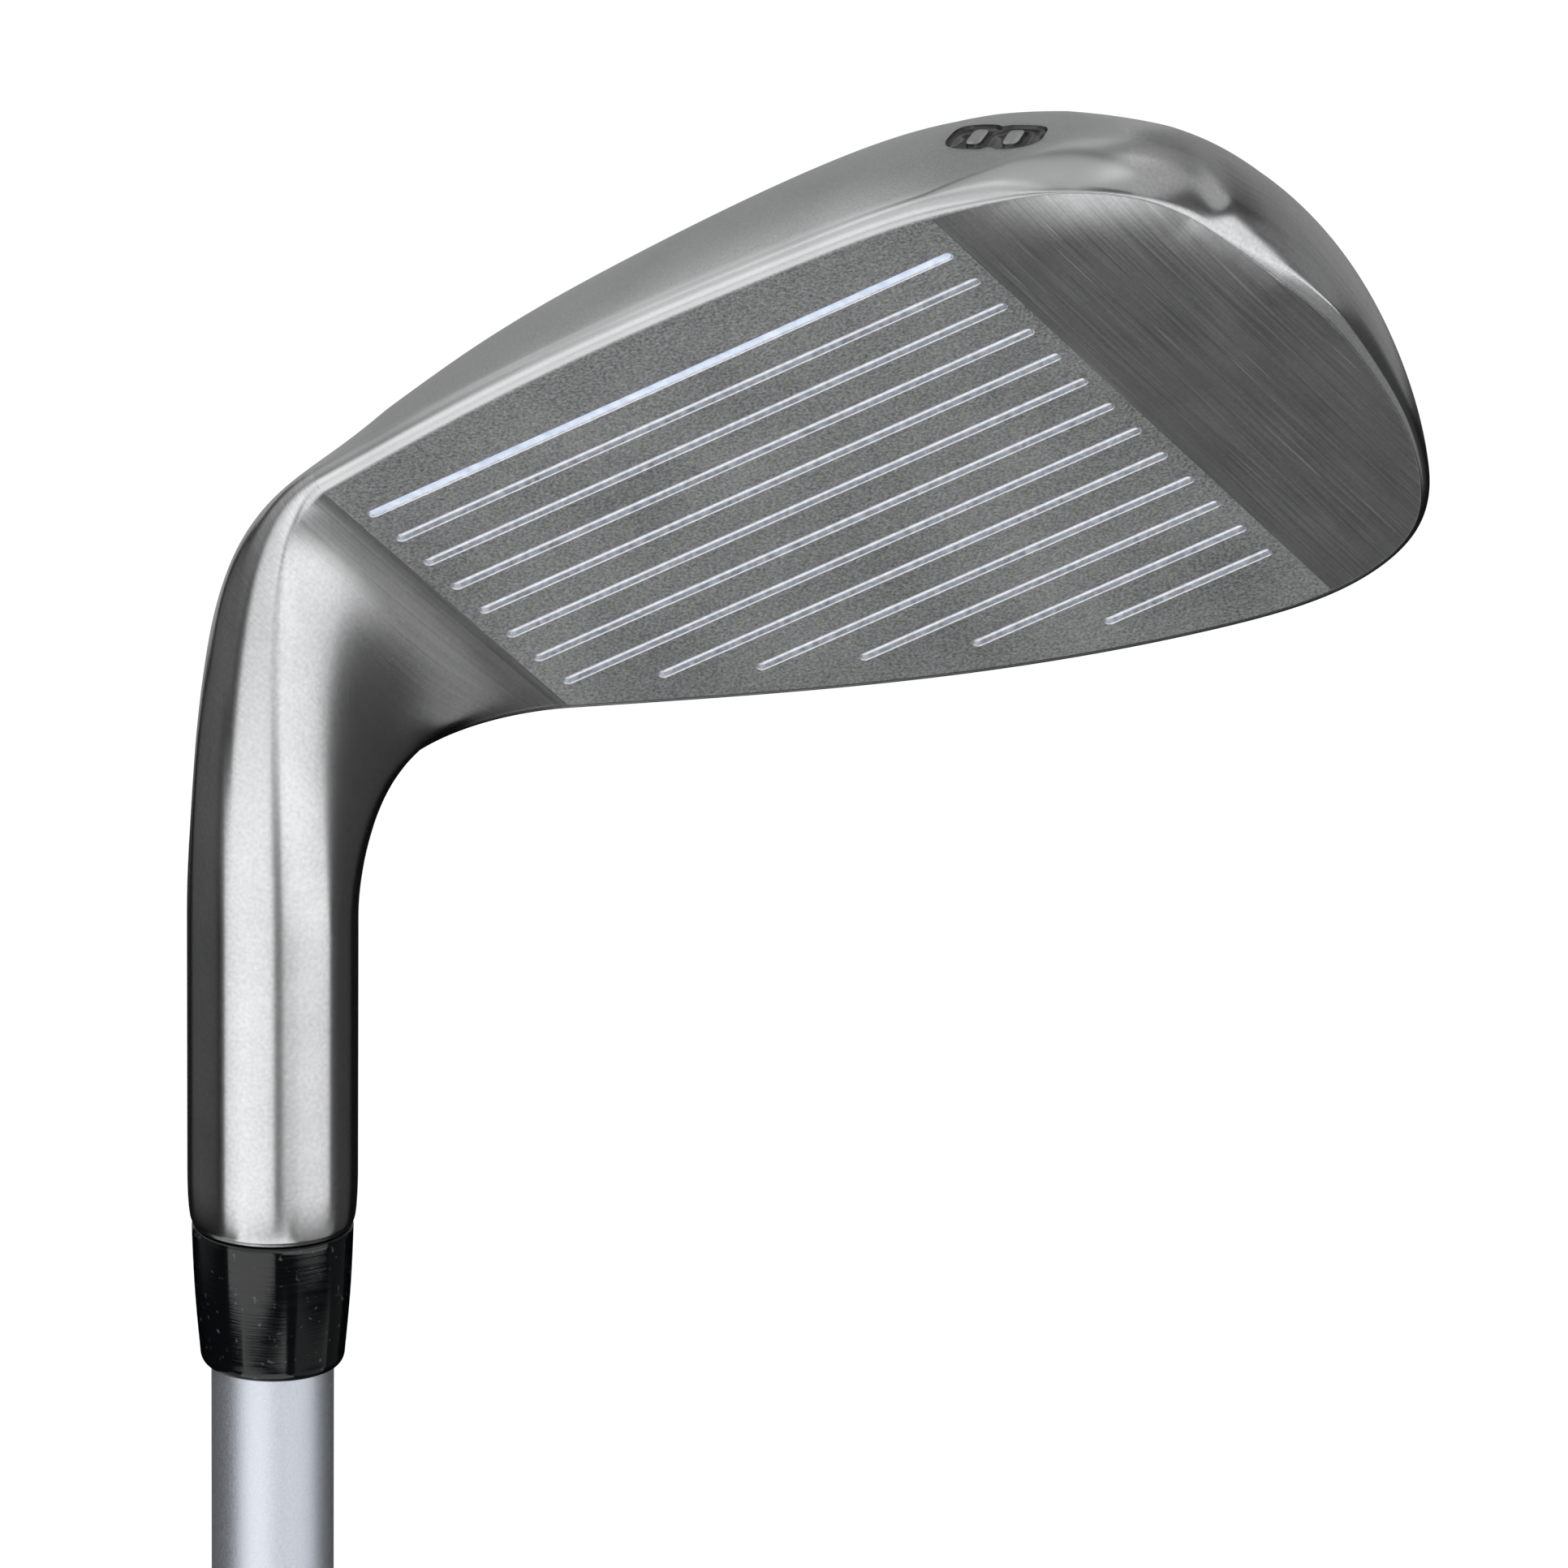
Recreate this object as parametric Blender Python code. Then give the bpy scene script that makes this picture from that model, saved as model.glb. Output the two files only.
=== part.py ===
"""Right-handed iron golf club, standing on its grip with the head up.

Units are metres. +Z runs up the shaft from the butt of the grip to the head, and the origin is the
centre of the butt. +X points to the toe of the head, and the hitting face looks towards -Y.
"""
import math

import bmesh
import bpy
import numpy as np

MM = 0.001

# Whole club
CLUB_LENGTH = 927.0 * MM          # along the shaft, from the butt to the ground under the heel
LIE = math.radians(61.0)          # between the shaft and the ground when the club is soled
LOFT = math.radians(40.0)         # between the face and the plane of the shaft and the grooves
FIT_GAP = 0.3 * MM                # left between two pieces that meet
ROUND_SIDES = 40                  # facets round a turned piece

# Grooves, one above the other for as long as the topline leaves room
GROOVE_PITCH = 3.6 * MM
GROOVE_LENGTH = 51.0 * MM
GROOVE_WIDTH = 0.75 * MM
GROOVE_FLOOR_WIDTH = 0.35 * MM
GROOVE_DEPTH = 0.45 * MM
GROOVE_TOP_MARGIN = 3.3 * MM      # from the heel end of a short groove up to the topline
SHORTEST_GROOVE = 10.0 * MM
GROOVE_END_STEPS = 5

# Blade
FACE_FROM_AXIS = 7.6 * MM         # from the shaft axis to the heel end of the lowest groove
BLADE_DEPTH = 6.6 * MM            # from the face to the flat of the back
FACE_THICKNESS = 4.2 * MM         # from the face to the floor of the hollow in the back
FRONT_ROUND = 1.1 * MM            # radius of the edge all round the face
REAR_ROUND = 1.8 * MM             # radius of the edge all round the back
REAR_HEADING = math.radians(-100.0)
HOLLOW_RIM = 2.4 * MM             # flat left between the edge of the back and the hollow
HOLLOW_DRAFT = 1.2 * MM           # how far the walls of the hollow lean in
HOLLOW_HEEL = 7.0 * MM            # where the hollow starts, along the grooves
HOLLOW_CORNER = 3.5 * MM          # how far the rounding of its corners reaches to each side
HOLLOW_STEPS = 72
HOLLOW_SAMPLES = 500              # of the face's edge, from which the outline of the hollow is drawn

# The edge of the face in millimetres and degrees, from the heel along the leading edge, round the toe
# and back along the topline. Each row has the distance along the grooves, the height up the face, the
# width of the sole or side wall behind that point, the lean of that wall at the face and at the back,
# and the distance from the edge of the face in to the flat of the back.
EDGE = (
    (-1.2, -4.3, 12.4, -36.0, -51.0, 15.8),
    (11.0, -5.6, 14.8, -24.0, -52.0, 18.0),
    (26.0, -6.2, 16.5, -18.5, -52.0, 20.0),
    (41.3, -5.7, 17.5, -15.0, -52.0, 21.0),
    (52.3, -4.5, 17.2, -17.0, -52.0, 20.5),
    (60.8, -1.2, 16.0, -18.0, -50.0, 18.4),
    (65.8, 3.6, 14.2, -13.0, -46.0, 15.6),
    (68.4, 11.5, 13.0, -1.0, -42.0, 13.2),
    (68.9, 20.5, 11.0, 7.0, -38.0, 10.4),
    (67.6, 31.0, 8.4, 8.0, -28.0, 7.0),
    (64.9, 40.2, 5.4, 1.0, -18.0, 4.4),
    (60.3, 47.0, 4.4, -2.0, -10.0, 2.9),
    (53.8, 49.8, 4.0, -2.0, -8.0, 2.5),
    (43.5, 48.6, 3.9, -2.0, -8.0, 2.4),
    (23.2, 41.1, 3.9, -2.0, -8.0, 2.4),
    (-1.2, 27.7, 3.9, -2.0, -8.0, 2.4),
)
SPINE_HEEL = (-1.2, 14.0)         # millimetres; the wall at each point of the edge runs towards the
SPINE_TOE = (48.0, 26.0)          # line between these two points of the face
EDGE_STEPS = 64
FRONT_STEPS = 6
WALL_STEPS = 8
REAR_STEPS = 4
MUSCLE_STEPS = 6
FACE_STEPS = 10
BACK_STEPS = 6

# Shaft
SHAFT_TIP_RADIUS = 4.59 * MM
SHAFT_TIP_WALL = 2.3 * MM
SHAFT_BUTT_RADIUS = 7.62 * MM
SHAFT_BUTT_WALL = 1.2 * MM
SHAFT_TIP_STRAIGHT = 150.0 * MM   # cylindrical length at the tip
SHAFT_PAST_GRIP = 30.0 * MM       # cylindrical length at the butt that shows past the grip
SHAFT_END_CHAMFER = 0.5 * MM

# Hosel
HOSEL_BORE = SHAFT_TIP_RADIUS + FIT_GAP
HOSEL_WALL = 1.48 * MM
HOSEL_END_WALL = 1.16 * MM
HOSEL_RADIUS = HOSEL_BORE + HOSEL_WALL
HOSEL_END_RADIUS = HOSEL_BORE + HOSEL_END_WALL
HOSEL_REACH = 56.1 * MM           # from the lowest groove's heel end down to the end of the hosel
HOSEL_TAPER = 4.1 * MM            # length over which the end of the hosel narrows
HOSEL_TAPER_STEPS = 5
HOSEL_STRAIGHT = 24.0 * MM        # from the end of the hosel up to where it starts to bend
HOSEL_FRONT = math.radians(16.7)  # where the leading edge runs out, turned from the front of the hosel
TURN_SHARE = 0.38                 # of the round of the hosel, dealt out by the turning of the heel section
FACE_SHARE = 0.11                 # and to its face; the rest is dealt out by length
SHARE_SPREAD = 1.5 * MM           # along the section, over which these two are smoothed
BEND_STEPS = 20
BEND_KEEPS = (                    # how far the bend keeps to the hosel and to the blade, at even turns
    (1.25, 0.60),                 # from the back of the hosel, round by the heel and the front
    (0.95, 0.55),
    (1.05, 0.69),
    (2.02, 1.41),
    (1.69, 0.73),
    (1.69, 0.40),
    (0.90, 0.71),
    (1.58, 0.89),
)
BORE_INTO_BEND = 3.0 * MM         # how far the bore runs on past the straight of the hosel
BORE_DEPTH = HOSEL_STRAIGHT + BORE_INTO_BEND

# Tip weight
PIN_LENGTH = 18.0 * MM
PIN_HEAD_THICKNESS = 2.0 * MM
PIN_HEAD_INSET = 0.6 * MM         # its head is this much smaller in radius than the shaft
PIN_CHAMFER = 0.5 * MM

# Ferrule
FERRULE_LENGTH = 10.7 * MM
FERRULE_FOOT_WALL = 0.53 * MM
FERRULE_FOOT_RADIUS = HOSEL_BORE + FERRULE_FOOT_WALL
FERRULE_BULGE = 0.1 * MM          # how far its side swells out from a straight taper
FERRULE_ROUND = 0.9 * MM          # height of the round at its foot
FERRULE_LAND = 0.1 * MM           # flat left at its foot, between the round and the bore
FERRULE_STEPS = 8

# Grip
TAPE_THICKNESS = 0.2 * MM
SNUG_BORE = SHAFT_BUTT_RADIUS + FIT_GAP
GRIP_BORE = SNUG_BORE + TAPE_THICKNESS + FIT_GAP
GRIP_LENGTH = 265.0 * MM
GRIP_BUTT_WALL = 4.6 * MM
GRIP_BUTT_RADIUS = GRIP_BORE + GRIP_BUTT_WALL
GRIP_HAND_WALL = 2.9 * MM         # where the upper hand holds it
GRIP_HAND_RADIUS = GRIP_BORE + GRIP_HAND_WALL
GRIP_HAND_REACH = 50.0 * MM
GRIP_MOUTH_WALL = 1.0 * MM
GRIP_MOUTH_RADIUS = GRIP_BORE + GRIP_MOUTH_WALL
GRIP_MOUTH_LIP = 12.0 * MM        # length of the snug stretch at the mouth, past the tape
GRIP_EDGE_ROUND = 0.8 * MM
GRIP_STEPS = 18
SHAFT_BUTT_STRAIGHT = GRIP_LENGTH + SHAFT_PAST_GRIP
CAP_THICKNESS = 3.5 * MM
CAP_SKIRT_STEP = 1.8 * MM         # how far its skirt stands out past the bore of the grip
CAP_SKIRT_RADIUS = GRIP_BORE + CAP_SKIRT_STEP
CAP_SKIRT_LENGTH = 3.5 * MM
CAP_VENT_RADIUS = 1.4 * MM
CAP_EDGE_ROUND = 1.2 * MM
ROUND_STEPS = 5

# Directions of the head
ALONG_GROOVES = np.array((math.sin(LIE), 0.0, math.cos(LIE)))
ADDRESS_UP = np.array((math.cos(LIE), 0.0, -math.sin(LIE)))
BACKWARDS = np.array((0.0, 1.0, 0.0))
FACE_UP = math.cos(LOFT) * ADDRESS_UP + math.sin(LOFT) * BACKWARDS
INTO_FACE = math.cos(LOFT) * BACKWARDS - math.sin(LOFT) * ADDRESS_UP
LOWEST_GROOVE = np.array((FACE_FROM_AXIS, 0.0, 0.0))


def on_blade(along, up, depth):
    """Point of the head, from its place on the face and its depth behind the face."""
    along, up, depth = np.broadcast_arrays(along, up, depth)
    return (LOWEST_GROOVE + along[..., None] * ALONG_GROOVES + up[..., None] * FACE_UP
            + depth[..., None] * INTO_FACE)


def smooth_through(knots, rows, places):
    """Natural cubic curve through the rows, one at each knot, read at the given places."""
    step = np.diff(knots)
    slope = np.diff(rows, axis=0) / step[:, None]
    system = np.eye(len(knots))
    bend = np.zeros_like(rows)
    for i in range(1, len(knots) - 1):
        system[i, i - 1:i + 2] = step[i - 1], 2 * (step[i - 1] + step[i]), step[i]
        bend[i] = 6 * (slope[i] - slope[i - 1])
    second = np.linalg.solve(system, bend)
    left = np.clip(np.searchsorted(knots, places) - 1, 0, len(knots) - 2)
    span = step[left][:, None]
    after = (places - knots[left])[:, None] / span
    before = 1 - after
    curve = ((before**3 - before) * second[left] + (after**3 - after) * second[left + 1]) * span**2 / 6
    return before * rows[left] + after * rows[left + 1] + curve


def edge_of_face(steps):
    """Samples of the face's edge: place on the face, direction inwards, wall, leans and rim."""
    rows = np.array(EDGE) * (MM, MM, MM, math.radians(1), math.radians(1), MM)
    chords = np.linalg.norm(np.diff(rows[:, :2], axis=0), axis=1)
    knots = np.concatenate(((0.0,), np.cumsum(chords)))
    samples = smooth_through(knots, rows, np.linspace(0, knots[-1], steps + 1))
    place = samples[:, :2]
    heel = np.array(SPINE_HEEL) * MM
    spine = np.array(SPINE_TOE) * MM - heel
    share = np.clip((place - heel) @ spine / (spine @ spine), 0, 1)
    inwards = heel + share[:, None] * spine - place
    inwards /= np.linalg.norm(inwards, axis=1)[:, None]
    return place, inwards, samples[:, 2], samples[:, 3], samples[:, 4], samples[:, 5]


def arc_of_headings(start, end, length, steps):
    """Steps outwards and backwards along an arc whose heading turns from start to end."""
    heading = np.linspace(start, end, steps + 1)
    middle = (heading[1:] + heading[:-1]) / 2
    return np.stack((np.sin(middle), np.cos(middle)), axis=1) * length / steps


def wall_profile(wall, front_lean, back_lean, rim):
    """Points from the edge of the face, round the wall, to the flat of the back: (outwards, depth)."""
    quarter = math.pi / 2
    runs = (
        arc_of_headings(quarter, front_lean, FRONT_ROUND * (quarter - front_lean), FRONT_STEPS),
        arc_of_headings(front_lean, back_lean, wall, WALL_STEPS),
        arc_of_headings(back_lean, REAR_HEADING, REAR_ROUND * (back_lean - REAR_HEADING), REAR_STEPS),
    )
    points = np.vstack(((0.0, 0.0), np.cumsum(np.vstack(runs), axis=0)))
    start = points[-1]
    end = np.array((-rim, BLADE_DEPTH))
    reach = np.linalg.norm(end - start)
    leave = reach * np.array((math.sin(REAR_HEADING), math.cos(REAR_HEADING)))
    arrive = reach * np.array((-1.0, 0.0))
    t = np.linspace(0, 1, MUSCLE_STEPS + 1)[1:, None]
    muscle = hermite(start, leave, end, arrive, t)
    return np.vstack((points, muscle))


def hermite(start, leave, end, arrive, t):
    """Cubic from start to end that leaves and arrives along the given directions."""
    return ((2 * t**3 - 3 * t**2 + 1) * start + (t**3 - 2 * t**2 + t) * leave
            + (3 * t**2 - 2 * t**3) * end + (t**3 - t**2) * arrive)


def blade_strip():
    """Rows of points from the edge of the face to the flat of the back, one row for each edge sample."""
    place, inwards, wall, front_lean, back_lean, rim = edge_of_face(EDGE_STEPS)
    strip = []
    for i in range(len(place)):
        out, depth = wall_profile(wall[i], front_lean[i], back_lean[i], rim[i]).T
        spot = place[i] - out[:, None] * inwards[i]
        strip.append(on_blade(spot[:, 0], spot[:, 1], depth))
    return np.array(strip)


def between(start, end, steps):
    """Points strictly between two ends."""
    t = np.arange(1, steps)[:, None] / steps
    return start + t * (end - start)


def crowded(start, end, steps):
    """Points strictly between two ends, crowded towards both."""
    t = np.arange(1, steps)[:, None] / steps
    return start + (1 - np.cos(math.pi * t)) / 2 * (end - start)


def heel_section(sole, top):
    """Closed loop of rows at the heel: along the sole, up the back, over the topline, down the face."""
    back_line = between(sole[-1], top[-1], BACK_STEPS)
    face_line = crowded(top[0], sole[0], FACE_STEPS)
    return np.vstack((sole, back_line, top[::-1], face_line))


def smoothed_shares(weight, place, step):
    """Share of each step of the closed heel section, from weights at places smoothed along it."""
    middle = np.cumsum(step) - step / 2
    apart = np.abs(middle[:, None] - place)
    apart = np.minimum(apart, step.sum() - apart)
    spread = np.exp(-0.5 * (apart / SHARE_SPREAD)**2)
    spread /= (spread * step[:, None]).sum(axis=0)
    share = step * (spread @ weight)
    return share / share.sum()


def hosel_angles(section):
    """Angle on the hosel for each point of the heel section, dealt out by turning, face and length."""
    ahead = np.roll(section, -1, axis=0) - section
    step = np.linalg.norm(ahead, axis=1)
    heading = ahead / step[:, None]
    turning = np.arccos(np.clip((heading * np.roll(heading, 1, axis=0)).sum(axis=1), -1, 1))
    on_face = step * (np.arange(len(step)) >= len(step) - FACE_STEPS)
    by_turning = smoothed_shares(turning, np.cumsum(step) - step, step)
    by_face = smoothed_shares(on_face, np.cumsum(step) - step / 2, step)
    by_length = step / step.sum()
    share = TURN_SHARE * by_turning + FACE_SHARE * by_face + (1 - TURN_SHARE - FACE_SHARE) * by_length
    return HOSEL_FRONT - 2 * math.pi * (np.cumsum(share) - share)


def bend_keeps(angles):
    """How far the bend keeps to the hosel and to the blade, at angles round the hosel."""
    count = len(BEND_KEEPS)
    knots = np.linspace(-3 * math.pi, 3 * math.pi, 3 * count + 1)
    within_turn = (angles + math.pi) % (2 * math.pi) - math.pi
    return smooth_through(knots, np.array(3 * BEND_KEEPS + BEND_KEEPS[:1]), within_turn).T


def hosel_rings(angles):
    """Rings from the end of the hosel up to the start of the bend."""
    turn = np.linspace(0, math.pi / 2, HOSEL_TAPER_STEPS)
    radius = HOSEL_END_RADIUS + (HOSEL_RADIUS - HOSEL_END_RADIUS) * np.sin(turn)
    height = HOSEL_TAPER * (1 - np.cos(turn)) - HOSEL_REACH
    radius = np.append(radius, HOSEL_RADIUS)
    height = np.append(height, HOSEL_STRAIGHT - HOSEL_REACH)
    around = np.stack((np.sin(angles), -np.cos(angles), np.zeros_like(angles)), axis=1)
    return [around * r + (0.0, 0.0, z) for r, z in zip(radius, height)]


def head_mesh():
    """Outer skin of the head as a closed mesh: blade, bend and hosel."""
    strip = blade_strip()
    section = heel_section(strip[0], strip[-1])
    onwards = heel_section(strip[1] - strip[0], strip[-2] - strip[-1])
    onwards /= np.linalg.norm(onwards, axis=1)[:, None]
    angles = hosel_angles(section)
    rings = hosel_rings(angles)
    start = rings[-1]
    to_hosel, to_blade = bend_keeps(angles) * np.linalg.norm(section - start, axis=1)
    leave = to_hosel[:, None] * np.array((0.0, 0.0, 1.0))
    arrive = to_blade[:, None] * onwards
    for i in range(1, BEND_STEPS):
        rings.append(hermite(start, leave, section, arrive, i / BEND_STEPS))
    mesh = bmesh.new()
    ring_verts = [[mesh.verts.new(p) for p in ring] for ring in rings]
    edge_verts = [[mesh.verts.new(p) for p in row] for row in strip]
    depth_count = strip.shape[1]
    back_start = depth_count
    top_start = back_start + BACK_STEPS - 1
    face_start = top_start + depth_count
    back_verts = [mesh.verts.new(p) for p in section[back_start:top_start]]
    face_verts = [mesh.verts.new(p) for p in section[face_start:]]
    ring_verts.append(edge_verts[0] + back_verts + edge_verts[-1][::-1] + face_verts)
    mesh.faces.new(ring_verts[0])
    for low, high in zip(ring_verts, ring_verts[1:]):
        for i in range(len(low)):
            mesh.faces.new((low[i - 1], low[i], high[i], high[i - 1]))
    for one, other in zip(edge_verts, edge_verts[1:]):
        for i in range(1, depth_count):
            mesh.faces.new((one[i - 1], one[i], other[i], other[i - 1]))
    mesh.faces.new([row[0] for row in edge_verts] + face_verts)
    mesh.faces.new([row[-1] for row in edge_verts] + back_verts[::-1])
    bmesh.ops.recalc_face_normals(mesh, faces=mesh.faces)
    return mesh


def prism(mesh, low, high):
    """Add the closed solid between two loops of as many points."""
    low_verts = [mesh.verts.new(p) for p in low]
    high_verts = [mesh.verts.new(p) for p in high]
    mesh.faces.new(low_verts[::-1])
    mesh.faces.new(high_verts)
    for i in range(len(low)):
        mesh.faces.new((low_verts[i - 1], low_verts[i], high_verts[i], high_verts[i - 1]))


def groove_heel_end(up):
    """Where a groove starts: at the heel, or further on where the topline comes down over it."""
    place = edge_of_face(EDGE_STEPS)[0]
    peak = np.argmax(place[:, 1])
    along, height = place[peak:][::-1].T
    return max(0.0, float(np.interp(up + GROOVE_TOP_MARGIN, height, along)))


def groove_loop(start, end, up, half_width, depth):
    """Outline of a groove with round ends, at one depth."""
    turn = np.linspace(-math.pi / 2, math.pi / 2, GROOVE_END_STEPS + 1)
    radius = GROOVE_WIDTH / 2
    toe = np.stack((end - radius + half_width * np.cos(turn), up + half_width * np.sin(turn)), axis=1)
    heel = np.stack((start + radius - half_width * np.cos(turn), up - half_width * np.sin(turn)), axis=1)
    along, height = np.vstack((toe, heel)).T
    return on_blade(along, height, depth)


def groove_cutters():
    """Solids that cut all the grooves, standing out of the face by their own depth."""
    mesh = bmesh.new()
    widen = (GROOVE_WIDTH - GROOVE_FLOOR_WIDTH) / 2
    up = 0.0
    while (start := groove_heel_end(up)) < GROOVE_LENGTH - SHORTEST_GROOVE:
        floor = groove_loop(start, GROOVE_LENGTH, up, GROOVE_FLOOR_WIDTH / 2, GROOVE_DEPTH)
        mouth = groove_loop(start, GROOVE_LENGTH, up, GROOVE_WIDTH / 2 + widen, -GROOVE_DEPTH)
        prism(mesh, floor, mouth)
        up += GROOVE_PITCH
    bmesh.ops.recalc_face_normals(mesh, faces=mesh.faces)
    return mesh


def round_corners(loop, reach, steps):
    """Closed outline read at even steps, with each point drawn to the middle of its surroundings."""
    closed = np.vstack((loop, loop[:1]))
    chords = np.linalg.norm(np.diff(closed, axis=0), axis=1)
    way = np.concatenate(((0.0,), np.cumsum(chords)))
    places = np.linspace(0, way[-1], steps, endpoint=False)
    even = np.stack([np.interp(places, way, side) for side in closed.T], axis=1)
    window = round(reach * steps / way[-1])
    for _ in range(2):
        even = np.mean([np.roll(even, k, axis=0) for k in range(-window, window + 1)], axis=0)
    return even


def hollow_cutter():
    """Solid that cuts the hollow in the back, with leaning walls and round corners."""
    place, inwards, _, _, _, rim = edge_of_face(HOLLOW_SAMPLES)
    outline = place + (rim + HOLLOW_RIM)[:, None] * inwards
    outline = round_corners(outline[outline[:, 0] > HOLLOW_HEEL], HOLLOW_CORNER, HOLLOW_STEPS)
    ahead = np.roll(outline, -1, axis=0) - np.roll(outline, 1, axis=0)
    inwards = np.stack((-ahead[:, 1], ahead[:, 0]), axis=1)
    inwards *= HOLLOW_DRAFT / np.linalg.norm(inwards, axis=1)[:, None]
    height = BLADE_DEPTH - FACE_THICKNESS
    mesh = bmesh.new()
    prism(mesh, on_blade(*(outline + inwards).T, FACE_THICKNESS),
          on_blade(*(outline - inwards).T, BLADE_DEPTH + height))
    bmesh.ops.recalc_face_normals(mesh, faces=mesh.faces)
    return mesh


def material(name, colour, roughness, metallic):
    """Plain surface of one piece."""
    made = bpy.data.materials.new(name)
    made.use_nodes = True
    shader = made.node_tree.nodes["Principled BSDF"]
    shader.inputs["Base Color"].default_value = (*colour, 1.0)
    shader.inputs["Roughness"].default_value = roughness
    shader.inputs["Metallic"].default_value = metallic
    return made


def add_object(name, mesh, height, surface=None):
    """Make an object of a mesh, carried by the club's empty at a height above the butt."""
    data = bpy.data.meshes.new(name)
    mesh.to_mesh(data)
    mesh.free()
    piece = bpy.data.objects.new(name, data)
    bpy.context.scene.collection.objects.link(piece)
    piece.parent = club
    piece.location.z = height
    if surface:
        data.materials.append(surface)
        data.shade_smooth()
        data.set_sharp_from_angle(angle=math.radians(30))
    return piece


def cut(piece, cutter):
    """Take a cutter out of a piece and keep the cutter as a hidden guide."""
    cutter.hide_render = True
    cutter.display_type = "WIRE"
    boolean = piece.modifiers.new(cutter.name, "BOOLEAN")
    boolean.operation = "DIFFERENCE"
    boolean.solver = "EXACT"
    boolean.object = cutter


def turned(profile):
    """Mesh of a closed profile of (radius, height) points turned round the Z axis."""
    mesh = bmesh.new()
    rings = []
    for radius, height in profile:
        if radius == 0:
            rings.append([mesh.verts.new((0.0, 0.0, height))] * ROUND_SIDES)
            continue
        angles = [2 * math.pi * i / ROUND_SIDES for i in range(ROUND_SIDES)]
        rings.append([mesh.verts.new((radius * math.cos(a), radius * math.sin(a), height)) for a in angles])
    for k, ring in enumerate(rings):
        last = rings[k - 1]
        for i in range(ROUND_SIDES):
            corners = dict.fromkeys((last[i - 1], last[i], ring[i], ring[i - 1]))
            if len(corners) > 2:
                mesh.faces.new(corners)
    bmesh.ops.recalc_face_normals(mesh, faces=mesh.faces)
    return mesh


def quarter_round(radius, height, size, start):
    """Points of a round edge centred at (radius, height), from one direction through a quarter turn."""
    turn = np.linspace(start, start + math.pi / 2, ROUND_STEPS)
    return [(radius + size * math.cos(a), height + size * math.sin(a)) for a in turn]


def ferrule_profile():
    """Profile of the ferrule, its wide end up against the hosel."""
    t = np.linspace(0, 1, FERRULE_STEPS)
    swell = FERRULE_BULGE * np.sin(math.pi * t)
    side = HOSEL_END_RADIUS + (FERRULE_FOOT_RADIUS - HOSEL_END_RADIUS) * t + swell
    drop = -(FERRULE_LENGTH - FERRULE_ROUND) * t
    turn = np.linspace(0, math.pi / 2, ROUND_STEPS)[1:]
    foot = HOSEL_BORE + FERRULE_LAND + (FERRULE_FOOT_WALL - FERRULE_LAND) * np.cos(turn)
    foot_drop = drop[-1] - FERRULE_ROUND * np.sin(turn)
    return [(HOSEL_BORE, 0.0), *zip(side, drop), *zip(foot, foot_drop), (HOSEL_BORE, -FERRULE_LENGTH)]


def shaft_profile(length):
    """Profile of the hollow shaft, its butt at height 0."""
    tip_start = length - SHAFT_TIP_STRAIGHT
    tip_bore = SHAFT_TIP_RADIUS - SHAFT_TIP_WALL
    butt_bore = SHAFT_BUTT_RADIUS - SHAFT_BUTT_WALL
    slim = SHAFT_END_CHAMFER
    return [
        (butt_bore, 0.0),
        (SHAFT_BUTT_RADIUS - slim, 0.0),
        (SHAFT_BUTT_RADIUS, slim),
        (SHAFT_BUTT_RADIUS, SHAFT_BUTT_STRAIGHT),
        (SHAFT_TIP_RADIUS, tip_start),
        (SHAFT_TIP_RADIUS, length - slim),
        (SHAFT_TIP_RADIUS - slim, length),
        (tip_bore, length),
        (tip_bore, tip_start),
        (butt_bore, SHAFT_BUTT_STRAIGHT),
    ]


def tip_weight_profile():
    """Profile of the tip weight: its pin hangs down in the shaft and its head covers the tip."""
    pin = SHAFT_TIP_RADIUS - SHAFT_TIP_WALL - FIT_GAP
    head = SHAFT_TIP_RADIUS - PIN_HEAD_INSET
    return [
        (0.0, -PIN_LENGTH),
        (pin - PIN_CHAMFER, -PIN_LENGTH),
        (pin, PIN_CHAMFER - PIN_LENGTH),
        (pin, FIT_GAP),
        (head, FIT_GAP),
        (head, FIT_GAP + PIN_HEAD_THICKNESS - PIN_CHAMFER),
        (head - PIN_CHAMFER, FIT_GAP + PIN_HEAD_THICKNESS),
        (0.0, FIT_GAP + PIN_HEAD_THICKNESS),
    ]


def cap_profile():
    """Profile of the grip cap, its flat end at height 0 and its skirt up inside the grip."""
    edge = quarter_round(GRIP_BUTT_RADIUS - CAP_EDGE_ROUND, CAP_EDGE_ROUND, CAP_EDGE_ROUND, -math.pi / 2)
    top = CAP_THICKNESS + CAP_SKIRT_LENGTH
    return [
        (CAP_VENT_RADIUS, 0.0),
        *edge,
        (GRIP_BUTT_RADIUS, CAP_THICKNESS),
        (CAP_SKIRT_RADIUS, CAP_THICKNESS),
        (CAP_SKIRT_RADIUS, top),
        (CAP_VENT_RADIUS, top),
    ]


def tape_profile(length):
    """Profile of the sleeve of tape on the shaft."""
    outer = SNUG_BORE + TAPE_THICKNESS
    return [(SNUG_BORE, 0.0), (outer, 0.0), (outer, length), (SNUG_BORE, length)]


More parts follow.
